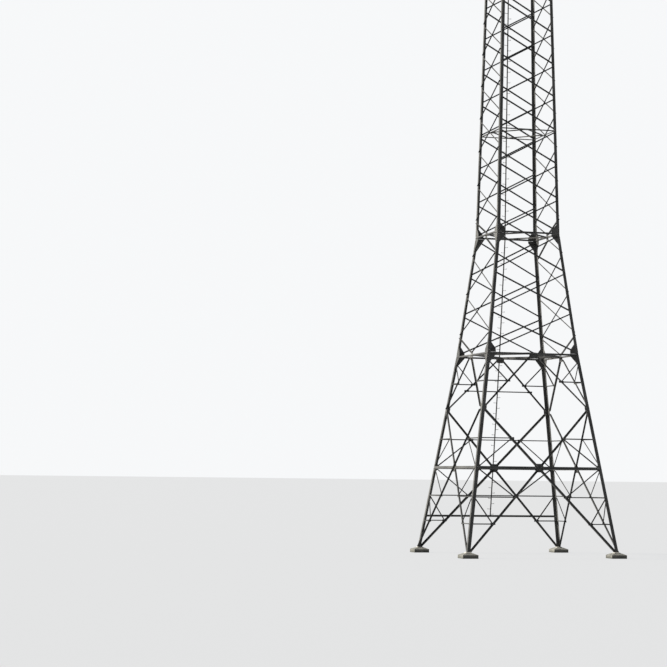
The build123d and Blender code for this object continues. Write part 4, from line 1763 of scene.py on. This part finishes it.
@dataclass(frozen=True)
class LongRod:
    """A long-rod insulator: a porcelain core with sheds between two metal caps."""

    length: float = 0.600
    core: float = 0.019
    shed: float = 0.0375
    sheds: int = 17
    cap: float = 0.0245
    cap_height: float = 0.044
    seam: float = 0.004
    sides: int = 14

    # Heights as shares of the pitch of the sheds
    base_height: float = 0.1
    flare_height: float = 0.12
    rim_height: float = 0.10
    slope_height: float = 0.40
    neck_height: float = 0.38

    # Heights, and widths further on, as shares of the cap's
    body_height: float = 0.55
    shoulder_height: float = 0.45
    shoulder_width: float = 0.88
    lip_width: float = 0.06
    foot_height: float = 0.16
    foot_width: float = 0.62
    stem_height: float = 0.10

    def porcelain(self) -> Thing:
        """Model the porcelain, each shed thin at its rim and sloping above, with a neck over it.

        Returns:
            The porcelain, standing on the ground with the lower cap's room left under it.
        """
        low = self.cap_height - self.seam
        pitch = (self.length - 2 * self.cap_height) / self.sheds
        rod = Bench.drum(self.sides, self.core, low, self.cap_height + pitch * self.base_height)
        Bench.top(rod)
        for _ in range(self.sheds):
            Bench.raise_face(pitch * self.flare_height, self.shed / self.core)
            Bench.raise_face(pitch * self.rim_height)
            Bench.raise_face(pitch * self.slope_height, self.core / self.shed)
            Bench.raise_face(pitch * self.neck_height)
        Bench.close(rod, "porcelain")
        Bench.smooth(rod)
        return rod

    def caps(self) -> Thing:
        """Model the two caps, each with an eased rim and a stem to the next fitting.

        Returns:
            The caps, the lower one's rim on the ground.
        """
        cap = Bench.drum(self.sides, self.cap, 0.0, self.cap_height * self.body_height)
        Bench.top(cap)
        Bench.raise_face(self.cap_height * self.shoulder_height, self.shoulder_width)
        Bench.step_in(self.cap * self.lip_width, -self.seam)
        Bench.bottom(cap)
        Bench.raise_face(-self.cap_height * self.foot_height, self.foot_width)
        Bench.raise_face(-self.cap_height * self.stem_height)
        Bench.close(cap, "cap")
        flip = Matrix.Translation((0.0, 0.0, self.length)) @ Matrix.Rotation(math.pi, 4, "X")
        made = Bench.join(Bench.copies(cap, (Matrix.Identity(4), flip)), "caps")
        Bench.drop(cap)
        Bench.smooth(made)
        return made


@dataclass
class Strings:
    """The insulator sets: long rods in twin strings, their fittings, yokes and clamps."""

    layout: Layout
    finishes: Finishes
    rod: LongRod = LongRod()
    fitting: float = 0.060
    eye_height: float = 0.070
    eye_width: float = 0.060
    plate: float = 0.014
    link: float = 0.009
    yoke_drop: float = 0.170
    yoke_bar: float = 0.050
    bundle: float = 0.200
    clamp_length: float = 0.160
    clamp_width: float = 0.034
    clamp_height: float = 0.040
    horn: float = 0.004
    horn_reach: float = 0.085
    horn_base: float = 0.6
    horn_bends: int = 4
    horn_step: float = 0.16
    horn_taper: float = 0.97
    horn_bend: float = math.radians(16)
    horn_lay: float = math.radians(-75)
    ease: float = 0.003

    # A pin's radius as a share of the link's, and half its length as a share of the plate's thickness
    eye_pin: Pair = (1.1, 1.3)
    yoke_pin: Pair = (1.0, 1.4)
    yoke_eye: float = 0.88

    # Lengths of the clevis as shares of half a fitting, and the width of its collar
    clevis_foot: float = 1.1
    clevis_waist: float = 0.35
    collar_slope: float = 0.2
    collar_height: float = 0.3
    collar_width: float = 1.7
    clevis_top: float = 0.75

    # The recess of the spacer: its rim as a share of the reach, its depth as one of the plate
    recess_rim: float = 0.16
    recess_depth: float = 0.3

    # Sizes and places of the clamp's parts, as shares of its width, length and height
    boat_size: Pair = (0.5, 0.6)
    bow_length: float = 0.25
    bow_lift: float = 0.12
    bow_size: Pair = (0.8, 0.55)
    keeper_size: Triple = (0.7, 0.3, 0.3)
    keeper_level: float = 0.42
    bolt_spot: Triple = (0.3, 0.1, 0.56)
    bolt_size: float = 0.55

    @property
    def top(self) -> float:
        """Height at which the strings start."""
        arm = self.layout.arm_sizes
        return arm.level + arm.chord_thickness - self.eye_height

    @property
    def bottom(self) -> float:
        """Height of the top of the yokes."""
        return self.top - 3 * self.fitting - 2 * self.rod.length

    @property
    def spread(self) -> float:
        """Distance of the clamps from the middle of their spacer."""
        return self.bundle / math.sqrt(3)

    def pins(self, size: Pair, places: Sequence[Matrix]) -> list[Thing]:
        """Model a pin and copy it to places.

        Args:
            size: Its radius as a share of the link's, and half its length as one of the plate.
            places: The places, with the pin along z.

        Returns:
            The pins.
        """
        radius, half = self.link * size[0], self.plate * size[1]
        pin = Bench.close(Bench.drum(6, radius, -half, half), "pin")
        made = Bench.copies(pin, places)
        Bench.drop(pin)
        return made

    def hanger(self) -> Thing:
        """Model the eye plate with its pin, hung below the origin.

        Returns:
            The hanger.
        """
        size, middle = (self.plate, self.eye_width, self.eye_height), (0.0, 0.0, -self.eye_height / 2)
        plate = Bench.eased(Bench.block(size, middle), self.ease, "eye")
        lay = Matrix.Rotation(math.pi / 2, 4, "Y")
        across = Matrix.Translation((0.0, 0.0, -self.eye_height + self.link)) @ lay
        return Bench.join([plate, *self.pins(self.eye_pin, [across])], "hanger")

    def clevis(self) -> Thing:
        """Model the link between two fittings, with a collar round its middle.

        Returns:
            The link, its middle at the origin.
        """
        half = self.fitting / 2
        link = Bench.drum(8, self.link, -half * self.clevis_foot, -half * self.clevis_waist)
        Bench.top(link)
        Bench.raise_face(half * self.collar_slope, self.collar_width)
        Bench.raise_face(half * self.collar_height)
        Bench.raise_face(half * self.collar_slope, 1 / self.collar_width)
        Bench.raise_face(half * self.clevis_top)
        return Bench.close(link, "clevis")

    def horns(self) -> Thing:
        """Model the pair of arcing horns, bent along the line from the middle of the string.

        Returns:
            The horns.
        """
        horn = Bench.drum(6, self.horn, 0.0, self.horn_reach * self.horn_base)
        Bench.top(horn)
        for _ in range(self.horn_bends):
            Bench.raise_face(self.horn_reach * self.horn_step, self.horn_taper)
            bpy.ops.transform.rotate(
                value=self.horn_bend, orient_axis="X", center_override=Bench.middle_of(horn)
            )
        Bench.close(horn, "horn")
        lay = Matrix.Rotation(self.horn_lay, 4, "X")
        made = Bench.copies(horn, (lay, Matrix.Rotation(math.pi, 4, "Z") @ lay))
        Bench.drop(horn)
        return Bench.join(made, "horns")

    def yoke(self) -> Thing:
        """Model the yoke plate with its pins, hung below the origin.

        Returns:
            The yoke.
        """
        spacing = self.layout.arm_sizes.string_spacing
        width, taper = spacing + self.yoke_bar, self.yoke_drop - self.yoke_bar
        block = Bench.block((width, self.plate, taper), (0.0, 0.0, -self.yoke_bar - taper / 2))
        Bench.bottom(block)
        bpy.ops.transform.resize(value=(2 * self.yoke_bar / width, 1.0, 1.0))
        Bench.top(block)
        Bench.raise_face(self.yoke_bar)
        plate = Bench.eased(block, self.ease, "yoke")
        lay = Matrix.Rotation(math.pi / 2, 4, "X")
        level, low = -self.yoke_bar / 2, -self.yoke_drop * self.yoke_eye
        spots = ((-spacing / 2, level), (spacing / 2, level), (0.0, low))
        places = [Matrix.Translation((x, 0.0, z)) @ lay for x, z in spots]
        return Bench.join([plate, *self.pins(self.yoke_pin, places)], "yoke")

    def spacer(self) -> Thing:
        """Model the three-cornered plate that spreads the clamps, with a recess on both faces.

        Returns:
            The plate, upright with a corner at the bottom.
        """
        plate = Bench.drum(3, self.spread, -self.plate / 2, self.plate / 2)
        for way in (1, -1):
            Bench.outermost(plate, way)
            Bench.step_in(self.spread * self.recess_rim)
            bpy.ops.mesh.extrude_region_move()
            bpy.ops.transform.translate(value=(0.0, 0.0, -way * self.plate * self.recess_depth))
        Bench.close(plate, "spacer")
        plate.data.transform(Matrix.Rotation(math.pi / 2, 4, "X") @ Matrix.Rotation(math.pi, 4, "Z"))
        return plate

    def clamp(self) -> Thing:
        """Model a boat-shaped suspension clamp with its keeper and four bolts.

        Returns:
            The clamp, its boat around the origin.
        """
        width, length, height = self.clamp_width, self.clamp_length, self.clamp_height
        size = (width, length * self.boat_size[0], height * self.boat_size[1])
        boat = Bench.block(size, (0.0, 0.0, 0.0))
        Bench.draw_out(boat, length * self.bow_length, height * self.bow_lift, self.bow_size)
        boat = Bench.eased(boat, self.ease, "boat")
        size = [share * whole for share, whole in zip(self.keeper_size, (width, length, height))]
        keeper = Bench.eased(Bench.block(size, (0.0, 0.0, 0.0)), self.ease, "keeper")
        keeper.data.transform(Matrix.Translation((0.0, 0.0, height * self.keeper_level)))
        bolt, (across, along, high) = Bolt().head(), self.bolt_spot
        small = Matrix.Scale(self.bolt_size, 4)
        made = Bench.copies(
            bolt,
            [
                Matrix.Translation((x * across * width, y * along * length, high * height)) @ small
                for x, y in product((-1, 1), (-1, 1))
            ],
        )
        Bench.drop(bolt)
        return Bench.join([boat, keeper, *made], "clamp")

    def levels(self) -> list[float]:
        """Heights of the lower ends of the two rods of a string."""
        upper = self.top - self.fitting - self.rod.length
        return [upper, upper - self.fitting - self.rod.length]

    def glaze(self, turn: Matrix) -> Thing:
        """Set the porcelain of every string of an arm.

        Args:
            turn: Turn of the arm about Z.

        Returns:
            The porcelain.
        """
        pattern = self.rod.porcelain()
        places = [
            turn @ Matrix.Translation((at, 0.0, level))
            for at in self.layout.arm_sizes.hangers
            for level in self.levels()
        ]
        made = Bench.join(Bench.copies(pattern, places), "string_porcelain")
        Bench.drop(pattern)
        return made

    def steel(self, turn: Matrix) -> Thing:
        """Set the fittings of every string of an arm, its yokes and its clamps.

        Args:
            turn: Turn of the arm about Z.

        Returns:
            The fittings.
        """
        arm, made, pitch = self.layout.arm_sizes, [], self.fitting + self.rod.length
        links = [self.top - self.fitting / 2 - step * pitch for step in range(3)]
        drops = [(self.hanger(), [self.top + self.eye_height]), (self.rod.caps(), self.levels())]
        drops += [(self.clevis(), links), (self.horns(), links)]
        for pattern, heights in drops:
            places = [turn @ Matrix.Translation((at, 0.0, z)) for at in arm.hangers for z in heights]
            made += Bench.copies(pattern, places)
            Bench.drop(pattern)
        centre = self.bottom - self.yoke_drop - self.bundle / 4
        half, reach = self.bundle / 2, self.spread
        corners = [(0.0, -reach), (-half, reach / 2), (half, reach / 2)]
        clamps = [Matrix.Translation((x, 0.0, centre + z)) for x, z in corners]
        sets = [(self.yoke(), [Matrix.Translation((0.0, 0.0, self.bottom))])]
        sets += [(self.spacer(), [Matrix.Translation((0.0, 0.0, centre))]), (self.clamp(), clamps)]
        for pattern, spots in sets:
            for at in arm.sets:
                place = turn @ Matrix.Translation((at, 0.0, 0.0))
                made += Bench.copies(pattern, [place @ spot for spot in spots])
            Bench.drop(pattern)
        return Bench.join(made, "string_fittings")

    def make(self) -> None:
        """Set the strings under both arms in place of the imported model's plain ones."""
        for name, angle in (("right", 0.0), ("left", math.pi)):
            turn = Matrix.Rotation(angle, 4, "Z")
            for slot, finish, piece in (
                (Slot.GLAZE, self.finishes.made[Slot.GLAZE], self.glaze(turn)),
                (Slot.BRACES, self.finishes.zinc, self.steel(turn)),
            ):
                piece.name = f"{piece.name}_{name}"
                Bench.hand_over(piece, slot, finish)
                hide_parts(f"insulators_{name}")


@dataclass
class WireClamps:
    """The clamps on the spikes that hold the earth wires."""

    layout: Layout
    finishes: Finishes
    spike_height: float = 0.250
    length: float = 0.110
    width: float = 0.026
    height: float = 0.024
    end_length: float = 0.02
    end_lift: float = 0.004
    end_size: Pair = (0.7, 0.5)
    ease: float = 0.003

    def place(self) -> Vector:
        """Find the top of the right arm's spike.

        Returns:
            The top.
        """
        arm, cosine = self.layout.arm_sizes, math.cos(self.layout.arm_sizes.rake)
        start = arm.depth - arm.half_chord - (arm.half_chord - arm.chord_thickness) / cosine
        run = (arm.peak_reach - arm.root) / cosine - arm.beam_depth
        height = arm.level + start + run * math.sin(arm.rake) + self.spike_height
        return Vector((arm.root + run * cosine, 0.0, height))

    def make(self) -> None:
        """Model one clamp and set it on both spikes."""
        block = Bench.block((self.width, self.length, self.height), (0.0, 0.0, 0.0))
        Bench.draw_out(block, self.end_length, self.end_lift, self.end_size)
        Bench.eased(block, self.ease, "clamp")
        spot = Matrix.Translation(self.place())
        places = [Matrix.Rotation(turn, 4, "Z") @ spot for turn in (0.0, math.pi)]
        piece = Bench.join(Bench.copies(block, places), "earth_wire_clamps")
        Bench.drop(block)
        Bench.hand_over(piece, Slot.BRACES, self.finishes.zinc)


@dataclass
class Studio:
    """Pale floor, soft light from the left and the camera at the photograph's place."""

    focal_length: float = 110.72
    sensor: float = 36.0
    distance: float = 61.748
    bearing: float = -0.3551
    eye_height: float = 2.308
    pitch: float = 0.0692
    yaw: float = 0.0892
    roll: float = 0.0112
    floor_size: float = 3000.0
    sky_strength: float = 0.20
    sun_strength: float = 6.5
    sun_spread: float = 3.0
    sun_travel: Triple = (1.0, -0.22, -0.40)
    sun_colour: Colour = (1.0, 0.94, 0.84)
    sky_colour: Colour = (0.92, 0.96, 1.0)
    white: Colour = (0.93, 0.94, 0.95)
    floor_tone: float = 0.26
    floor_roughness: float = 0.9
    floor_white: float = 0.74
    far: float = 5000.0

    def camera(self) -> None:
        """Place the camera where the photograph was taken from."""
        data = bpy.data.cameras.new("camera")
        data.lens = self.focal_length
        data.sensor_width = self.sensor
        data.clip_end = self.far
        thing = bpy.data.objects.new("camera", data)
        bpy.context.scene.collection.objects.link(thing)
        heading = self.bearing + self.yaw
        level_share = math.cos(self.pitch)
        ahead = Vector(
            (-math.sin(heading) * level_share, math.cos(heading) * level_share, math.sin(self.pitch))
        )
        level = Vector((math.cos(heading), math.sin(heading), 0.0))
        upright = level.cross(ahead)
        right = level * math.cos(self.roll) + upright * math.sin(self.roll)
        above = upright * math.cos(self.roll) - level * math.sin(self.roll)
        across, back = math.sin(self.bearing), -math.cos(self.bearing)
        place = Vector((self.distance * across, self.distance * back, self.eye_height))
        turn = Matrix((right, above, -ahead)).transposed()
        thing.matrix_world = Matrix.Translation(place) @ turn.to_4x4()
        bpy.context.scene.camera = thing

    def white_to_camera(self, tree: bpy.types.NodeTree, lit: Socket, share: float) -> Socket:
        """Mix a plain white into a surface for rays from the camera, reflections and glass.

        Args:
            tree: The node tree of a material or the world.
            lit: The shader that lights the object.
            share: How much of the white those rays see.

        Returns:
            The mixed shader.
        """
        rays = tree.nodes.new("ShaderNodeLightPath").outputs
        seen = rays["Is Camera Ray"]
        for kind in ("Is Glossy Ray", "Is Transmission Ray"):
            either = tree.nodes.new("ShaderNodeMath")
            either.operation = "MAXIMUM"
            tree.links.new(seen, either.inputs[0])
            tree.links.new(rays[kind], either.inputs[1])
            seen = either.outputs[0]
        part = tree.nodes.new("ShaderNodeMath")
        part.operation = "MULTIPLY"
        part.inputs[1].default_value = share
        tree.links.new(seen, part.inputs[0])
        kind = "ShaderNodeBackground" if lit.node.type == "BACKGROUND" else "ShaderNodeEmission"
        white = tree.nodes.new(kind)
        white.inputs["Color"].default_value = (*self.white, 1.0)
        mixed = tree.nodes.new("ShaderNodeMixShader")
        tree.links.new(part.outputs[0], mixed.inputs["Fac"])
        tree.links.new(lit, mixed.inputs[1])
        tree.links.new(white.outputs[0], mixed.inputs[2])
        return mixed.outputs[0]

    def floor(self) -> None:
        """Lay the pale floor under the tower."""
        bpy.ops.object.select_all(action="DESELECT")
        bpy.ops.mesh.primitive_plane_add(size=self.floor_size)
        thing = bpy.context.active_object
        thing.name = "floor"
        material = bpy.data.materials.new("floor")
        material.use_nodes = True
        tree = material.node_tree
        shader = tree.nodes["Principled BSDF"]
        tone = self.floor_tone
        shader.inputs["Base Color"].default_value = (tone, tone, tone, 1.0)
        shader.inputs["Roughness"].default_value = self.floor_roughness
        mixed = self.white_to_camera(tree, shader.outputs[0], self.floor_white)
        tree.links.new(mixed, tree.nodes["Material Output"].inputs["Surface"])
        thing.data.materials.append(material)

    def light(self) -> None:
        """Light the tower with a soft sky and a low, broad sun from the left."""
        world = bpy.data.worlds.new("sky")
        world.use_nodes = True
        tree = world.node_tree
        sky = tree.nodes["Background"]
        sky.inputs["Color"].default_value = (*self.sky_colour, 1.0)
        sky.inputs["Strength"].default_value = self.sky_strength
        mixed = self.white_to_camera(tree, sky.outputs[0], 1.0)
        tree.links.new(mixed, tree.nodes["World Output"].inputs["Surface"])
        bpy.context.scene.world = world
        data = bpy.data.lights.new("sun", "SUN")
        data.energy = self.sun_strength
        data.angle = math.radians(self.sun_spread)
        data.color = self.sun_colour
        sun = bpy.data.objects.new("sun", data)
        sun.rotation_mode = "QUATERNION"
        sun.rotation_quaternion = Vector(self.sun_travel).to_track_quat("-Z", "Y")
        bpy.context.scene.collection.objects.link(sun)

    def build(self) -> None:
        """Set up camera, floor, light and the plain view."""
        self.camera()
        self.floor()
        self.light()
        bpy.context.scene.view_settings.view_transform = "Standard"


def main() -> None:
    """Dress the tower and set up the studio."""
    logging.basicConfig(level=logging.INFO, format="%(message)s")
    finishes = Finishes()
    finishes.dress_nodes()
    layout = Layout()
    surfaces = Surfaces(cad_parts.values())
    BendGussets(layout, finishes).make()
    SplicePlates(layout, finishes).make()
    Pedestals(layout, finishes).make()
    Bolting(layout, finishes, surfaces).make()
    PegEnds(layout, finishes).make()
    Strings(layout, finishes).make()
    WireClamps(layout, finishes).make()
    Studio().build()


if __name__ == "__main__":
    main()
